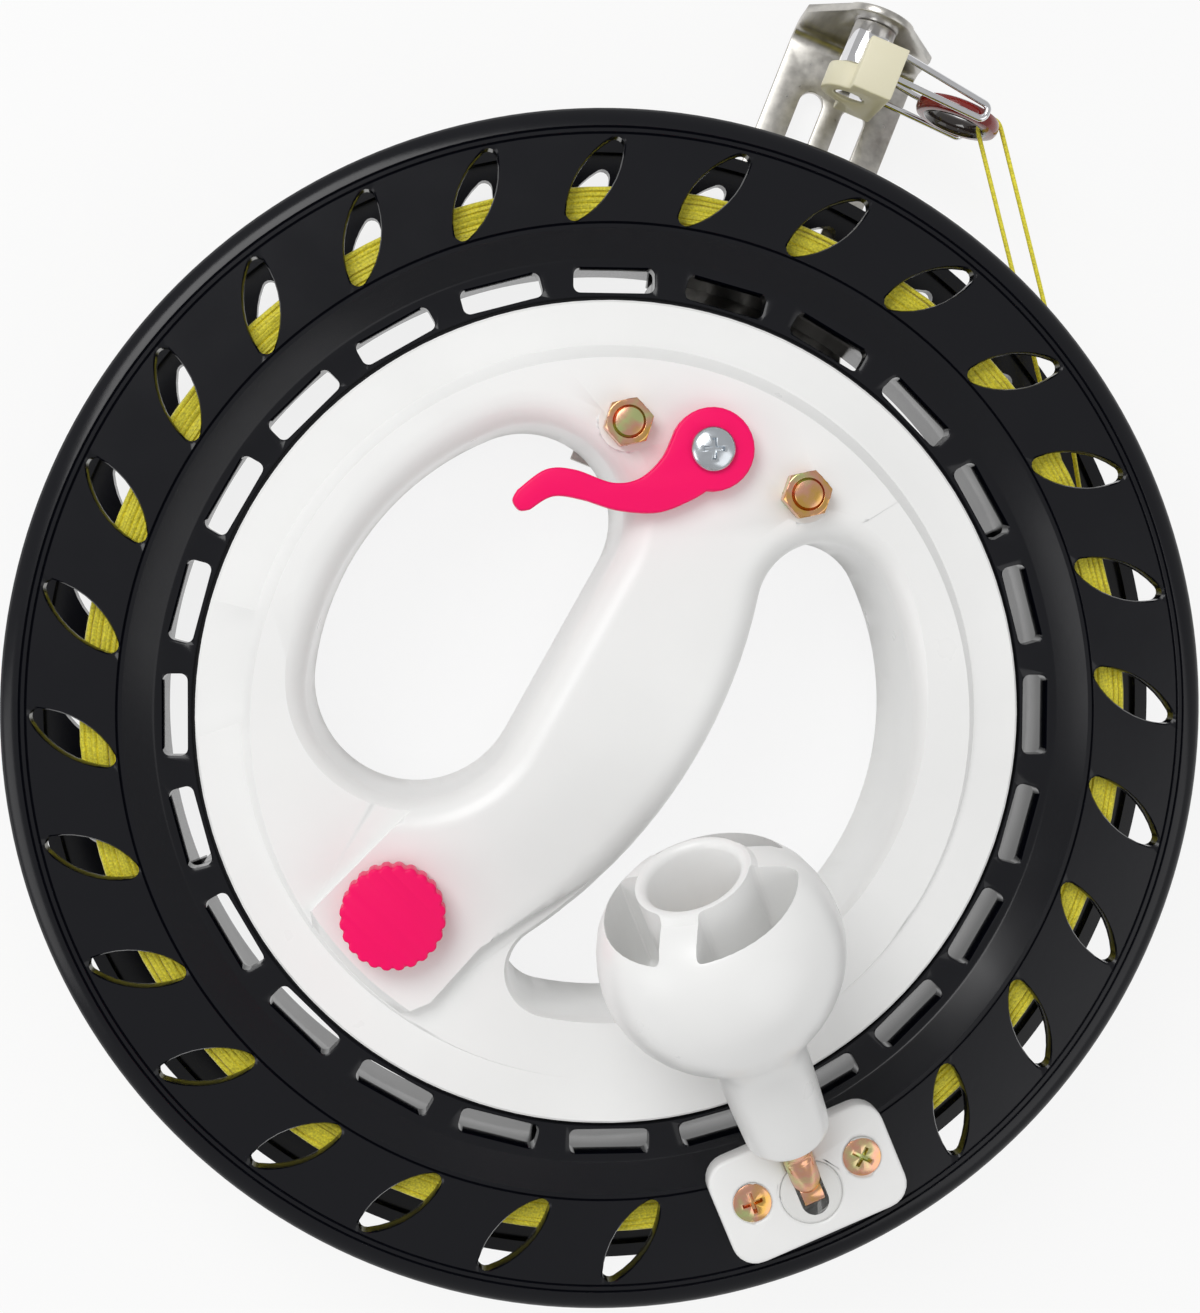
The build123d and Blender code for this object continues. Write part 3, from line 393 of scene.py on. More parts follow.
def smooth_copy(node, name, edge=0.0, angle=34):
    """Merged copy of a CAD node's mesh, its flat faces joined and its sharp edges rounded."""
    source = bpy.data.objects[node]
    piece = bpy.data.objects.new(name, source.data.copy())
    bpy.context.collection.objects.link(piece)
    activate(piece)
    bpy.ops.object.mode_set(mode="EDIT")
    bpy.ops.mesh.select_all(action="SELECT")
    bpy.ops.mesh.remove_doubles(threshold=2e-6)
    bpy.ops.mesh.dissolve_limited(angle_limit=radians(0.6))
    bpy.ops.object.mode_set(mode="OBJECT")
    return soften(piece, edge, 2, angle)


def fit(piece, body, slot, *nodes):
    """Finish, body and replaced nodes of a piece."""
    piece.data.materials.clear()
    piece.data.materials.append(MATERIALS[slot])
    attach(piece, body)
    if nodes:
        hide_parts(*nodes)
    return piece


def slot_and_body(node):
    """Material slot and body of a CAD node."""
    slot = next(part["material_slot"] for part in frame["record"]["subparts"] if part["node"] == node)
    body = next(name for name, nodes in frame["record"]["behaviour"]["bodies"].items() if node in nodes)
    return slot, body


def polar(radius, angle):
    return radius * cos(angle), radius * sin(angle)


def about_axis(angle, radius=0.0, height=0.0):
    """Place at a radius and an angle in radians, turned with it, in millimetres."""
    return Matrix.Rotation(angle, 4, "Z") @ Matrix.Translation((radius * MM, 0, height * MM))


def over(point, height):
    return Matrix.Translation((point[0] * MM, point[1] * MM, height * MM))


def axes(origin, x_axis, z_axis):
    """Place from an origin in millimetres and two axes."""
    x_axis, z_axis = Vector(x_axis).normalized(), Vector(z_axis).normalized()
    y_axis = z_axis.cross(x_axis)
    turn = Matrix((x_axis, y_axis, z_axis)).transposed().to_4x4()
    return Matrix.Translation(Vector(origin) * MM) @ turn


def rounded_box(width, height, corner, steps=6):
    """Outline of a rectangle with round corners."""
    points = []
    for quarter, (side, up) in enumerate(((1, 1), (-1, 1), (-1, -1), (1, -1))):
        for step in range(steps + 1):
            angle = pi / 2 * (quarter + step / steps)
            points.append(
                (
                    side * (width / 2 - corner) + corner * cos(angle),
                    up * (height / 2 - corner) + corner * sin(angle),
                )
            )
    return points


def cross_outline(reach, half):
    """Outline of a cross recess."""
    points = []
    for arm in range(4):
        for x, y in ((half, half), (half, reach), (-half, reach)):
            turn = pi / 2 * arm
            points.append((x * cos(turn) - y * sin(turn), x * sin(turn) + y * cos(turn)))
    return points


def recess(reach, half, top, depth):
    return plate("recess", cross_outline(reach, half), (top - depth, 0.7), (top + 1, 1.0))


# Wheel
FLANGE = 3.5
LATHE_STEPS = 224
MOUTH = 0.35
MOUTH_GROWTH = 1.12
WINDOW_TURN = radians(5.07)
WINDOW_SLANT = radians(5.8)
WINDOW_IN = 90.0
WINDOW_OUT = 104.4
WINDOW_WIDTH = 6.5
WINDOW_TIP = 1.5
WINDOW_COUNT = 28
WINDOWS_LEFT_OUT = (22, 23)
SLOT_TURN = radians(14.68)
SLOT_AT = 79.35
SLOT_COUNT = 24
POST_AT = 80.2
POST_COUNT = 6
CRANK_SCREWS = [(25.0, -88.8), (45.2, -80.7)]


def lens_outline(steps=9):
    """Window with two long sides and rounded tips, its length along X."""
    tip_x, tip_y = polar(WINDOW_IN, WINDOW_SLANT)
    half = hypot(WINDOW_OUT - tip_x, tip_y) / 2
    width = WINDOW_WIDTH / 2
    centre = half - WINDOW_TIP
    side = (centre**2 + width**2 - WINDOW_TIP**2) / (2 * (width - WINDOW_TIP))
    lean = atan2(centre, side - width)
    points = []
    for sign in (1, -1):
        for step in range(steps):
            angle = lean * (1 - 2 * step / (steps - 1))
            points.append((sign * side * sin(angle), sign * (width - side + side * cos(angle))))
        for step in range(1, 5):
            angle = pi / 2 + lean + (pi - 2 * lean) * step / 5
            points.append((sign * (-centre + WINDOW_TIP * cos(angle)), sign * WINDOW_TIP * sin(angle)))
    return points


def window_places():
    places = []
    for index in range(WINDOW_COUNT):
        if index in WINDOWS_LEFT_OUT:
            continue
        turn = WINDOW_TURN + 2 * pi * index / WINDOW_COUNT
        inner, outer = polar(WINDOW_IN, turn), polar(WINDOW_OUT, turn - WINDOW_SLANT)
        lean = atan2(outer[1] - inner[1], outer[0] - inner[0])
        middle = Vector((inner[0] + outer[0], inner[1] + outer[1], 0)) * 0.5 * MM
        places.append(Matrix.Translation(middle) @ Matrix.Rotation(lean, 4, "Z"))
    return places


def window_knives(inside, outside, lip):
    """Window cutters that flare by a small chamfer at the outer face."""
    levels = ((inside, 1.0), (outside - lip * MOUTH, 1.0), (outside + lip * MOUTH, MOUTH_GROWTH))
    return repeat(plate("window_knife", lens_outline(), *levels), window_places())


class WINDER_OT_wheel(bpy.types.Operator):
    """Front and back halves of the wheel, with their windows and slots"""

    bl_idname = "winder.wheel"
    bl_label = "Wheel"

    def execute(self, context):
        face = FRONT - FLANGE
        front = turned(
            "wheel_front",
            [
                (84.0, 23.0), (88.0, 23.0), (88.0, face), (107.6, face),
                (107.6, face - 1.8), (110.0, face - 1.8),
                (110.0, 39.3), (109.4, 40.1), (107.2, 40.95), (106.6, 41.0), (106.35, 40.7), (106.1, 41.0),
                (105.5, 41.0), (105.25, 40.7), (105.0, 41.0), (89.5, 41.0), (89.25, 40.7), (89.0, 41.0),
                (88.3, 41.0), (87.8, 40.6), (83.5, 37.3), (83.0, 37.0), (76.6, 37.0), (76.4, 36.8),
                (76.4, 36.2), (73.6, 36.2), (73.6, 35.4), (74.9, 35.4), (74.9, 27.7), (75.1, 27.7),
                (75.1, 12.0), (77.0, 12.0), (77.0, 32.7), (84.0, 32.7),
            ],
            LATHE_STEPS,
        )
        cut(front, window_knives(face - 1, FRONT, 1))
        slot = plate("slot_knife", rounded_box(4.5, 14.9, 1.3), (32.0, 1.0), (36.8, 1.0), (37.2, 1.12))
        slot_turns = [SLOT_TURN + 2 * pi * k / SLOT_COUNT for k in range(SLOT_COUNT)]
        cut(front, repeat(slot, [about_axis(turn, SLOT_AT) for turn in slot_turns]))
        soften(front, 0)
        post = turned("post", [(2.5, 15.0), (2.5, 33.0)], 20, closed=False)
        rib = plate("rib", [(1.9, -1.0), (4.2, -1.0), (4.2, 1.0), (1.9, 1.0)], (15.0, 1.0), (33.0, 1.0))
        turns = [SLOT_TURN + pi / 24 + 2 * pi * k / POST_COUNT for k in range(POST_COUNT)]
        posts = repeat(soften(join([post, rib]), 0.2), [about_axis(turn, POST_AT) for turn in turns])
        fit(join([front, posts]), "reel", "reel_plastic", "reel_front_half")

        face = BACK + FLANGE
        back = turned(
            "wheel_back",
            [
                (84.0, 23.0), (88.0, 23.0), (88.0, face), (107.6, face),
                (107.6, face + 1.8), (110.0, face + 1.8),
                (110.0, 6.7), (109.4, 5.9), (107.2, 5.05), (106.6, 5.0), (106.35, 5.3), (106.1, 5.0),
                (85.0, 5.0), (84.4, 5.2), (84.0, 5.8),
            ],
            LATHE_STEPS,
        )
        cut(back, window_knives(face + 1, BACK, -1))
        soften(back, 0)
        lug = turned("lug", [(2.5, 11.0), (2.5, 15.0)], 20, closed=False)
        web = plate("web", [(1.5, -2.4), (4.6, -2.4), (4.6, 2.4), (1.5, 2.4)], (11.0, 1.0), (15.0, 1.0))
        lugs = repeat(soften(join([lug, web]), 0.2), [about_axis(turn, POST_AT) for turn in turns])
        fit(join([back, lugs]), "reel", "reel_plastic", "reel_rear_half")
        return {"FINISHED"}


# Wound line
ROW_STEPS = 120
SIDE_RINGS = 8
SLANTED_RINGS = 5
RING_PITCH = 0.97
WANDER_SIZE = 0.006
WANDER = 0.0003


def unevenness(piece, size, strength):
    """Small wander of the strands, from a fixed cloud texture."""
    cloud = bpy.data.textures.new("line_wander", "CLOUDS")
    cloud.noise_scale = size
    activate(piece)
    wander = piece.modifiers.new("wander", "DISPLACE")
    wander.texture = cloud
    wander.texture_coords = "LOCAL"
    wander.direction = "RGB_TO_XYZ"
    wander.mid_level = 0.5
    wander.strength = strength
    bpy.ops.object.modifier_apply(modifier=wander.name)
    return piece


def wound_rows(rows, thickness, low, high):
    """Turns side by side on the outside of the winding: a section screwed round the drum."""
    deselect()
    radius = WOUND_R - thickness / 2 - 0.15
    bpy.ops.mesh.primitive_circle_add(
        vertices=6, radius=thickness / 2 * MM, location=(radius * MM, 0, low * MM), rotation=(pi / 2, 0, 0)
    )
    piece = named("winding_rows")
    bpy.ops.object.transform_apply(location=True, rotation=True, scale=True)
    turns = piece.modifiers.new("turns", "SCREW")
    turns.axis = "Z"
    turns.angle = 2 * pi
    turns.steps = turns.render_steps = ROW_STEPS
    turns.iterations = rows
    turns.screw_offset = (high - low) / rows * MM
    bpy.ops.object.modifier_apply(modifier=turns.name)
    bpy.ops.object.mode_set(mode="EDIT")
    bpy.ops.mesh.select_all(action="SELECT")
    bpy.ops.mesh.remove_doubles(threshold=1e-6)
    bpy.ops.mesh.fill_holes(sides=0)
    bpy.ops.mesh.normals_make_consistent(inside=False)
    bpy.ops.object.mode_set(mode="OBJECT")
    return piece


def side_ring(radius, height, thickness, aside=0.0, turn=0.0):
    """One turn that shows at a side of the winding, off the axis where it runs slanted."""
    deselect()
    shift = polar(aside, turn)
    bpy.ops.mesh.primitive_torus_add(
        major_radius=radius * MM,
        minor_radius=thickness / 2 * MM,
        major_segments=144,
        minor_segments=6,
        location=(shift[0] * MM, shift[1] * MM, height * MM),
    )
    piece = named("side_turn")
    bpy.ops.object.transform_apply(location=True, rotation=True, scale=True)
    return piece


class WINDER_OT_winding(bpy.types.Operator):
    """Line wound between the flanges"""

    bl_idname = "winder.winding"
    bl_label = "Wound line"

    def execute(self, context):
        sizes = context.scene.winder_sizes
        thickness = sizes.line_diameter / MM * 1.08
        low, high = BACK + FLANGE + 0.7, FRONT - FLANGE - 0.7
        core = turned("winding_core", [(88.1, 9.3), (95.4, 9.3), (95.4, 36.7), (88.1, 36.7)], 128)
        fit(soften(core, 0), "reel", "line_yellow", "line_core")
        turns = [wound_rows(sizes.wound_rows, thickness, low + 0.4, high - 0.4)]
        for height in (low, high):
            for index in range(SIDE_RINGS):
                turns.append(side_ring(89.1 + index * RING_PITCH, height, thickness))
            for index in range(SLANTED_RINGS):
                radius, aside = 90.9 + 0.75 * index, 1.6 - 0.2 * index
                turns.append(side_ring(radius, height, thickness, aside, 2.4 * index))
        winding = unevenness(join(turns), WANDER_SIZE, WANDER)
        fit(soften(winding, 0, angle=60), "reel", "line_yellow", "line_turns")
        return {"FINISHED"}


# Lever and knob
LEVER_AT = (17.5, 48.3)
LEVER_Z = (42.3, 46.0)
KNOB_AT = (-40.1, -35.3)
KNOB_Z = (42.6, 48.4)
KNOB_TEETH = 24


def smooth_run(points, steps=8):
    """Points along a smooth curve through a few points."""
    run = []
    for index in range(len(points) - 1):
        before = Vector(points[max(index - 1, 0)])
        start, end = Vector(points[index]), Vector(points[index + 1])
        after = Vector(points[min(index + 2, len(points) - 1)])
        for step in range(steps):
            t = step / steps
            bend = 2 * start + (end - before) * t + (2 * before - 5 * start + 4 * end - after) * t * t
            bend += (3 * start - before - 3 * end + after) * t**3
            run.append(tuple(bend * 0.5))
    run.append(tuple(points[-1]))
    return run


def lever_outline():
    """Round eye and a wavy arm that ends in a hooked tip."""
    eye = []
    for step in range(25):
        angle = radians(-98 + 262 * step / 24)
        eye.append((LEVER_AT[0] + 7.6 * cos(angle), LEVER_AT[1] + 7.6 * sin(angle)))
    upper_marks = [(8.3, 46.6), (4.4, 43.1), (-0.6, 42.3), (-7.4, 44.6), (-12.6, 44.6), (-17.6, 41.0)]
    upper = smooth_run([eye[-1], *upper_marks])
    tip = smooth_run([(-17.6, 41.0), (-18.5, 39.1), (-17.3, 37.3), (-15.4, 37.4)], 4)
    lower_marks = [(-15.4, 37.4), (-11.2, 39.8), (-6.0, 39.2), (0.4, 37.3), (7.6, 36.9), (13.2, 38.9)]
    lower = smooth_run([*lower_marks, eye[0]])
    return eye[:-1] + upper[:-1] + tip[:-1] + lower[:-1]


def knob_outline():
    points = []
    for step in range(KNOB_TEETH * 8):
        angle = 2 * pi * step / (KNOB_TEETH * 8)
        notch = max(0.0, cos(KNOB_TEETH * angle)) ** 1.4
        points.append(polar(9.48 - 0.62 * notch, angle))
    return points


class WINDER_OT_controls(bpy.types.Operator):
    """Brake lever with its screw, and lock knob"""

    bl_idname = "winder.controls"
    bl_label = "Lever and knob"

    def execute(self, context):
        lever = plate("lever", lever_outline(), *((height, 1.0) for height in LEVER_Z))
        hole = seat(turned("hole", [(3.0, 40.0), (3.0, 50.0)], 48, closed=False), over(LEVER_AT, 0))
        fit(soften(cut(lever, hole), 0.55, 4), "lever", "pink_plastic", "brake_lever")

        outline = [
            (1.5, 40.0), (1.5, 46.0), (4.1, 46.0), (4.1, 46.6),
            (3.95, 46.95), (3.5, 47.35), (2.6, 47.7),
        ]
        screw = turned("lever_pan_screw", outline + [(1.2, 47.95), (0.3, 48.0)], 48, closed=False)
        cut(screw, recess(2.3, 0.45, 48.0, 1.3))
        fit(seat(soften(screw, 0.06), over(LEVER_AT, 0)), "lever", "screw_steel", "lever_screw")

        knob = plate("knob", knob_outline(), *((height, 1.0) for height in KNOB_Z))
        well = turned("well", [(3.0, 42.0), (3.0, 47.4)], 32, closed=False)
        knob = soften(cut(knob, well), 0.45, 3, 50)
        fit(seat(knob, over(KNOB_AT, 0)), "lock", "pink_plastic", "lock_knob")
        return {"FINISHED"}


# Crank
CRANK_OUT = Vector((cos(CRANK_ANGLE), sin(CRANK_ANGLE), 0))
CRANK_SIDE = Vector((-sin(CRANK_ANGLE), cos(CRANK_ANGLE), 0))
CRANK_DIR = -CRANK_OUT * cos(CRANK_RISE) + Vector((0, 0, sin(CRANK_RISE)))
CRANK_PIVOT = CRANK_OUT * PIVOT_R + Vector((0, 0, PIVOT_Z))
BASE_TOP = 46.3
STEM_END = 15.1
SCREW_TURNS = (0.35, 1.1)
POCKETS = 3


def crank_place(reach=0.0):
    """Frame of the rod: Z along it, X along the pin."""
    return axes(CRANK_PIVOT + CRANK_DIR * reach, CRANK_SIDE, CRANK_DIR)


def base_slot(width):
    knife = plate("slot", rounded_box(22.2, width, width / 2.01, 8), (40.0, 1.0), (50.0, 1.0))
    return seat(knife, about_axis(CRANK_ANGLE, 98.2 - 11.1))


class WINDER_OT_crank(bpy.types.Operator):
    """Crank base, rod and grip"""

    bl_idname = "winder.crank"
    bl_label = "Crank"

    def execute(self, context):
        base = plate("crank_foot", rounded_box(20.3, 34.4, 4.5), (41.0, 1.0), (BASE_TOP, 1.0))
        seat(base, about_axis(CRANK_ANGLE, 92.65))
        hole = turned("hole", [(5.75, 40.0), (5.75, 50.0)], 64, closed=False)
        cut(base, seat(hole, about_axis(CRANK_ANGLE, PIVOT_R)))
        cut(base, base_slot(5.2))
        outline = [(1.75, 40.0), (1.75, 44.1), (3.65, BASE_TOP), (4.5, 47.3)]
        seat_knife = turned("seat_knife", outline, 40, closed=False)
        cut(base, repeat(seat_knife, [over(point, 0) for point in CRANK_SCREWS]))
        fit(soften(base, 0.7, 3, 40), "reel", "handle_plastic", "crank_base")

        boss = turned("crank_boss", [(5.75, 41.0), (5.75, 46.2), (5.35, 46.6)], 64, closed=False)
        seat(boss, about_axis(CRANK_ANGLE, PIVOT_R))
        fit(soften(cut(boss, base_slot(4.8)), 0.2), "reel", "white_nylon", "crank_insert")

        outline = [(1.7, 37.5), (1.7, 44.1), (3.55, 46.2), (3.5, 46.35), (2.6, 46.55), (0.6, 46.65)]
        screw = cut(turned("crank_foot_screws", outline, 40, closed=False), recess(2.2, 0.42, 46.6, 1.4))
        soften(screw, 0.05)
        places = [
            over(point, 0) @ Matrix.Rotation(turn, 4, "Z")
            for point, turn in zip(CRANK_SCREWS, SCREW_TURNS)
        ]
        fit(repeat(screw, places), "reel", "zinc", "crank_screws")

        rod = turned(
            "crank_shaft",
            [
                (2.0, 1.0), (2.75, 2.6), (2.8, 8.6), (2.45, 9.1), (2.45, 9.9), (2.8, 10.4), (2.8, 17.1),
                (3.5, 17.1), (3.5, 20.1), (2.8, 20.1), (2.8, 56.4), (2.4, 57.0),
            ],
            48,
            closed=False,
        )
        eye = turned("eye", [(1.4, -2.0), (2.8, -2.0), (2.8, 2.0), (1.4, 2.0)], 40)
        seat(eye, Matrix.Rotation(pi / 2, 4, "Y"))
        rod = soften(join([rod, eye]), 0.12)
        fit(seat(rod, crank_place()), "crank", "zinc", "crank_rod")

        outline = [
            (2.95, 5.2), (3.65, 5.1), (3.65, 0.3), (4.2, 0.0),
            (6.4, 0.0), (7.2, 0.25), (7.65, 0.8), (7.85, 1.6),
        ]
        outline += [
            (8.0, 5.0), (8.2, 10.0), (8.32, 15.0), (8.45, 18.6),
            (8.8, 20.8), (9.6, 22.8), (10.9, 24.9),
        ]
        outline += [
            (12.6, 26.7), (14.6, 28.6), (16.5, 30.8), (18.2, 33.2),
            (19.6, 35.8), (20.6, 38.6), (21.2, 41.4),
        ]
        outline += [
            (21.3, 44.2), (20.95, 47.2), (20.2, 50.2), (19.0, 53.2),
            (17.2, 55.8), (14.8, 57.9), (12.0, 59.3),
        ]
        outline += [
            (11.0, 59.7), (10.6, 60.3), (10.2, 60.9), (9.6, 61.1),
            (8.9, 61.0), (8.4, 60.6), (8.0, 59.8),
        ]
        outline += [(8.0, 36.0), (2.95, 36.0)]
        grip = turned("grip", outline, 128)
        pocket = []
        for step in range(15):
            pocket.append(polar(9.9, radians(-41 + 82 * step / 14)))
        for step in range(15):
            pocket.append(polar(16.9, radians(49 - 98 * step / 14)))
        knife = plate("pocket", pocket, (38.0, 1.0), (64.0, 1.0))
        pocket_places = [Matrix.Rotation(2 * pi * (k + 0.5) / POCKETS, 4, "Z") for k in range(POCKETS)]
        cut(grip, repeat(soften(knife, 1.0, 3, 60), pocket_places))
        soften(grip, 0, angle=32)
        fit(seat(grip, crank_place(STEM_END)), "grip", "handle_plastic", "crank_grip")
        return {"FINISHED"}


# Carried shapes that get merged, rounded surfaces, with the width and the angle of their edge rounds
SMOOTHED = (
    ("handle_front_shell", 0.0, 19),
    ("handle_rear_shell", 0.0, 19),
    ("guide_bracket", 0.25, 34),
    ("guide_post", 0.25, 34),
    ("guide_bush", 0.35, 34),
    ("shell_screws", 0.0, 34),
    ("reel_screws", 0.0, 34),
    ("grip_washer", 0.1, 34),
    ("grip_nut", 0.15, 34),
)


# Guide
GUIDE_OUT = Vector((cos(GUIDE_ANGLE), sin(GUIDE_ANGLE), 0))
GUIDE_SIDE = Vector((sin(GUIDE_ANGLE), -cos(GUIDE_ANGLE), 0))
RING_AT = (130.0, 21.0, 22.0)
RING_R = (5.25, 6.35, 8.25)
WIRE_R = 0.65
WIRE_BEND = 1.2
BOLT_POINTS = [(50.3 * GUIDE_OUT + s * 17.45 * GUIDE_SIDE)[:2] for s in (1, -1)]


def guide_place(reach, side, height):
    """Frame along the bracket: X sideways, Y up, Z towards the wheel."""
    origin = GUIDE_OUT * reach + GUIDE_SIDE * side + Vector((0, 0, height))
    return axes(origin, GUIDE_SIDE, -GUIDE_OUT)


def hairpin(height):
    """Bent wire that holds one side of the ring."""
    corners = [(134.4, 3.8), (131.6, 24.6), (128.8, 24.4), (129.6, 3.8)]
    route = [GUIDE_OUT * u + GUIDE_SIDE * t + Vector((0, 0, height)) for u, t in corners]
    return bent_wire("guide_hairpins", route, WIRE_R, WIRE_BEND)


class WINDER_OT_guide(bpy.types.Operator):
    """Guide ring with its wires, bolts and nuts"""

    bl_idname = "winder.guide"
    bl_label = "Line guide"

    def execute(self, context):
        reach = RING_R[2] + WIRE_R
        wires = join([hairpin(RING_AT[2] + side * reach) for side in (-1, 1)])
        fit(wires, "guide", "chrome", "guide_wire")

        frame_outline = [(6.35, -1.5), (7.3, -1.5), (7.85, -1.25), (8.15, -0.7), (8.25, 0.0)]
        frame_outline += [(8.15, 0.7), (7.85, 1.25), (7.3, 1.5), (6.35, 1.5)]
        ring = soften(turned("ring_frame", frame_outline, 96), 0)
        fit(seat(ring, guide_place(*RING_AT)), "guide", "ring_red", "guide_ring_frame")
        liner_outline = [(6.35, -1.5), (6.0, -1.62), (5.6, -1.35), (5.35, -0.8), (5.25, 0.0)]
        liner_outline += [(5.35, 0.8), (5.6, 1.35), (6.0, 1.62), (6.35, 1.5)]
        liner = soften(turned("ring_liner", liner_outline, 96), 0)
        fit(seat(liner, guide_place(*RING_AT)), "guide", "ceramic", "guide_ring_liner")

        bolt = turned(
            "bolts",
            [(2.5, 2.4), (2.5, 45.6)]
            + [(2.5 - 0.25 * (k % 2), 45.8 + 0.25 * k) for k in range(5)]
            + [(1.6, 47.0)],
            32,
            closed=False,
        )
        hexagon = [polar(4.3, pi / 3 * k) for k in range(6)]
        head = soften(plate("head", hexagon, (0.4, 1.0), (2.4, 1.0)), 0.2)
        bolts = repeat(soften(join([bolt, head]), 0), [over(point, 0) for point in BOLT_POINTS])
        fit(bolts, "handle", "zinc", "bracket_bolts")

        hexagon = [polar(4.6, pi / 3 * k + radians(12)) for k in range(6)]
        nut = plate("nuts", hexagon, (42.0, 1.0), (46.5, 1.0))
        crown = [(4.05, 41.99), (4.7, 42.5), (4.7, 45.5)]
        crown += [(4.0, 46.0), (3.0, 46.0), (2.55, 45.6), (2.45, 45.5)]
        cut(nut, turned("crown", crown + [(2.45, 41.99)], 64), "INTERSECT")
        nuts = repeat(soften(nut, 0.08), [over(point, 0) for point in BOLT_POINTS])
        fit(nuts, "handle", "zinc", "bracket_nuts")
        return {"FINISHED"}


class WINDER_OT_handle(bpy.types.Operator):
    """Handle shells, bracket, post and bush with rounded edges"""

    bl_idname = "winder.handle"
    bl_label = "Handle"

    def execute(self, context):
        for node, edge, angle in SMOOTHED:
            slot, body = slot_and_body(node)
            fit(smooth_copy(node, node + "_smooth", edge, angle), body, slot, node)
        return {"FINISHED"}


# Free line
STRAND_STEP = 5.4
LINE_ROUTE = [
    (94.198, 24.964, 22.0),
    (71.099, 112.125, 22.0),
    (75.449, 113.278, 22.0),
    (90.863, 55.116, 22.0),
    (96.565, 13.106, 22.0),
]


def line_points():
    """Route of the free line in metres, with a point near the ring on each strand."""
    route = [Vector(point) * MM for point in LINE_ROUTE]
    start, corner_a, corner_b, bend, end = route
    near_a = corner_a + (start - corner_a).normalized() * STRAND_STEP * MM
    near_b = corner_b + (bend - corner_b).normalized() * STRAND_STEP * MM
    return [start, near_a, corner_a, corner_b, near_b, bend, end]


class WINDER_OT_free_line(bpy.types.Operator):
    """Line from the winding through the guide ring and back"""

    bl_idname = "winder.free_line"
    bl_label = "Free line"

    def execute(self, context):
        deselect()
        points = line_points()
        curve = bpy.data.curves.new("free_line_route", "CURVE")
        curve.dimensions = "3D"
        curve.resolution_u = 16
        spline = curve.splines.new("NURBS")
        spline.points.add(len(points) - 1)
        for target, point in zip(spline.points, points):
            target.co = (*point, 1)
        spline.order_u = 3
        spline.use_endpoint_u = True
        curve.bevel_depth = context.scene.winder_sizes.line_diameter / 2
        curve.bevel_resolution = 3
        curve.use_fill_caps = True
        piece = bpy.data.objects.new("free_line_cord", curve)
        context.collection.objects.link(piece)
        piece.data.materials.append(MATERIALS["line_yellow"])
        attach(piece, "handle")
        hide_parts("free_line")
        return {"FINISHED"}


# Stage
CAMERA_AT = Vector((-33.21, 28.27, 425.35)) * MM
CAMERA_YAW = radians(4.57)
CAMERA_PITCH = radians(2.58)
FOCAL_PIXELS = 2123.0
SENSOR = 36.0
FLOOR_GLOW = 0.85
AMBIENT = 0.5
PHOTO_HEIGHT = 1313.0


def area_light(name, at, size, power, target=(0, 0, 0.02), colour=(1, 1, 1)):
    """Soft square light that faces a point."""
    light = bpy.data.lights.new(name, "AREA")
    light.size = size
    light.energy = power
    light.color = colour
    lamp = bpy.data.objects.new(name, light)
    lamp.location = at
    lamp.rotation_euler = (Vector(target) - Vector(at)).to_track_quat("-Z", "Y").to_euler()
    bpy.context.collection.objects.link(lamp)
    return lamp


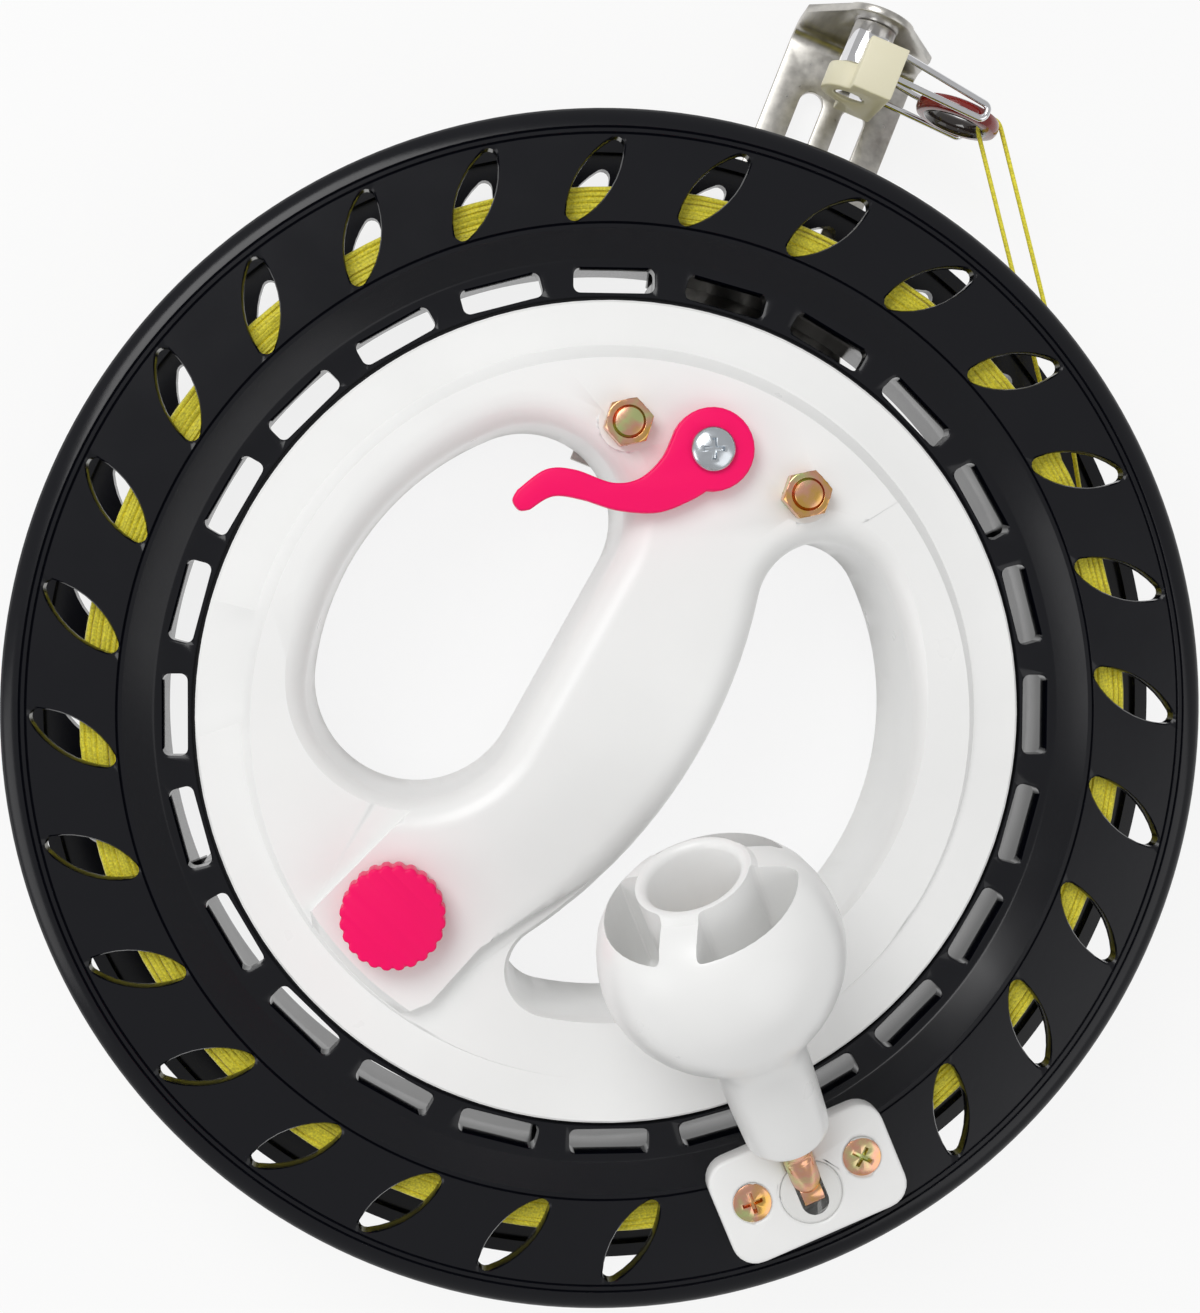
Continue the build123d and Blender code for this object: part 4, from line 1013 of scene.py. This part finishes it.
class WINDER_OT_stage(bpy.types.Operator):
    """Floor, soft light and the photograph's camera"""

    bl_idname = "winder.stage"
    bl_label = "Stage"

    def execute(self, context):
        deselect()
        bpy.ops.mesh.primitive_plane_add(size=6, location=(0, 0, -0.0002))
        floor = context.active_object
        floor.name = "floor"
        material = bpy.data.materials.new("floor_white")
        material.use_nodes = True
        nodes, links = material.node_tree.nodes, material.node_tree.links
        shader = nodes["Principled BSDF"]
        shader.inputs["Base Color"].default_value = (0.8, 0.8, 0.8, 1)
        shader.inputs["Roughness"].default_value = 0.9
        glow = nodes.new("ShaderNodeEmission")
        glow.inputs["Color"].default_value = (1, 1, 1, 1)
        path = nodes.new("ShaderNodeLightPath")
        mix = nodes.new("ShaderNodeMixShader")
        seen = nodes.new("ShaderNodeMath")
        seen.operation = "MAXIMUM"
        links.new(path.outputs["Is Camera Ray"], seen.inputs[0])
        links.new(path.outputs["Is Glossy Ray"], seen.inputs[1])
        through = nodes.new("ShaderNodeMath")
        through.operation = "MAXIMUM"
        links.new(seen.outputs[0], through.inputs[0])
        links.new(path.outputs["Is Transmission Ray"], through.inputs[1])
        share = nodes.new("ShaderNodeMath")
        share.operation = "MULTIPLY"
        share.inputs[1].default_value = FLOOR_GLOW
        links.new(through.outputs[0], share.inputs[0])
        links.new(share.outputs[0], mix.inputs["Fac"])
        links.new(shader.outputs[0], mix.inputs[1])
        links.new(glow.outputs[0], mix.inputs[2])
        links.new(mix.outputs[0], nodes["Material Output"].inputs["Surface"])
        floor.data.materials.append(material)

        camera = bpy.data.cameras.new("camera")
        camera.lens = FOCAL_PIXELS / PHOTO_HEIGHT * SENSOR
        camera.sensor_width = SENSOR
        camera.clip_start = 0.01
        eye = bpy.data.objects.new("camera", camera)
        yaw = Matrix(
            ((cos(CAMERA_YAW), 0, sin(CAMERA_YAW)), (0, 1, 0), (-sin(CAMERA_YAW), 0, cos(CAMERA_YAW)))
        )
        pitch = Matrix(
            ((1, 0, 0), (0, cos(CAMERA_PITCH), -sin(CAMERA_PITCH)), (0, sin(CAMERA_PITCH), cos(CAMERA_PITCH)))
        )
        turn = (pitch @ yaw).transposed().to_4x4()
        eye.matrix_world = Matrix.Translation(CAMERA_AT) @ turn
        context.collection.objects.link(eye)
        context.scene.camera = eye

        area_light("key", (-0.35, 0.45, 0.75), 0.5, 3.6)
        area_light("fill", (0.5, -0.3, 0.6), 0.6, 1.0)
        area_light("side", (-0.7, -0.2, 0.35), 0.4, 0.8)
        world = bpy.data.worlds.new("studio")
        world.use_nodes = True
        nodes, links = world.node_tree.nodes, world.node_tree.links
        ambient = nodes["Background"]
        ambient.inputs["Color"].default_value = (1, 1, 1, 1)
        ambient.inputs["Strength"].default_value = AMBIENT
        backdrop = nodes.new("ShaderNodeBackground")
        backdrop.inputs["Color"].default_value = (0.97, 0.97, 0.97, 1)
        path = nodes.new("ShaderNodeLightPath")
        mix = nodes.new("ShaderNodeMixShader")
        links.new(path.outputs["Is Camera Ray"], mix.inputs["Fac"])
        links.new(ambient.outputs[0], mix.inputs[1])
        links.new(backdrop.outputs[0], mix.inputs[2])
        links.new(mix.outputs[0], nodes["World Output"].inputs["Surface"])
        context.scene.world = world
        context.scene.view_settings.view_transform = "Standard"
        return {"FINISHED"}


class WINDER_OT_carried(bpy.types.Operator):
    """Materials of the CAD nodes that stay visible"""

    bl_idname = "winder.carried"
    bl_label = "Carried parts"

    def execute(self, context):
        for part in frame["record"]["subparts"]:
            node = bpy.data.objects.get(part["node"])
            if node is None:
                raise RuntimeError(f"no node {part['node']}")
            node.data.materials.clear()
            node.data.materials.append(MATERIALS[part["material_slot"]])
        return {"FINISHED"}


OPERATORS = (
    WINDER_OT_stage,
    WINDER_OT_free_line,
    WINDER_OT_wheel,
    WINDER_OT_winding,
    WINDER_OT_controls,
    WINDER_OT_crank,
    WINDER_OT_guide,
    WINDER_OT_handle,
    WINDER_OT_carried,
)


class WINDER_PT_panel(bpy.types.Panel):
    """Pieces of the line winder"""

    bl_label = "Line winder"
    bl_idname = "WINDER_PT_panel"
    bl_space_type = "VIEW_3D"
    bl_region_type = "UI"
    bl_category = "Line winder"

    def draw(self, context):
        for operator in OPERATORS:
            self.layout.operator(operator.bl_idname)


CLASSES = (WinderSizes, WinderColours, *OPERATORS, WINDER_PT_panel)


def register():
    for item in CLASSES:
        bpy.utils.register_class(item)
    bpy.types.Scene.winder_sizes = PointerProperty(type=WinderSizes)
    bpy.types.Scene.winder_colours = PointerProperty(type=WinderColours)


def unregister():
    del bpy.types.Scene.winder_sizes
    del bpy.types.Scene.winder_colours
    for item in reversed(CLASSES):
        bpy.utils.unregister_class(item)


def main():
    register()
    make_materials()
    bpy.ops.winder.stage()
    bpy.ops.winder.free_line()
    bpy.ops.winder.wheel()
    bpy.ops.winder.winding()
    bpy.ops.winder.controls()
    bpy.ops.winder.crank()
    bpy.ops.winder.guide()
    bpy.ops.winder.handle()
    bpy.ops.winder.carried()


if __name__ == "__main__":
    main()
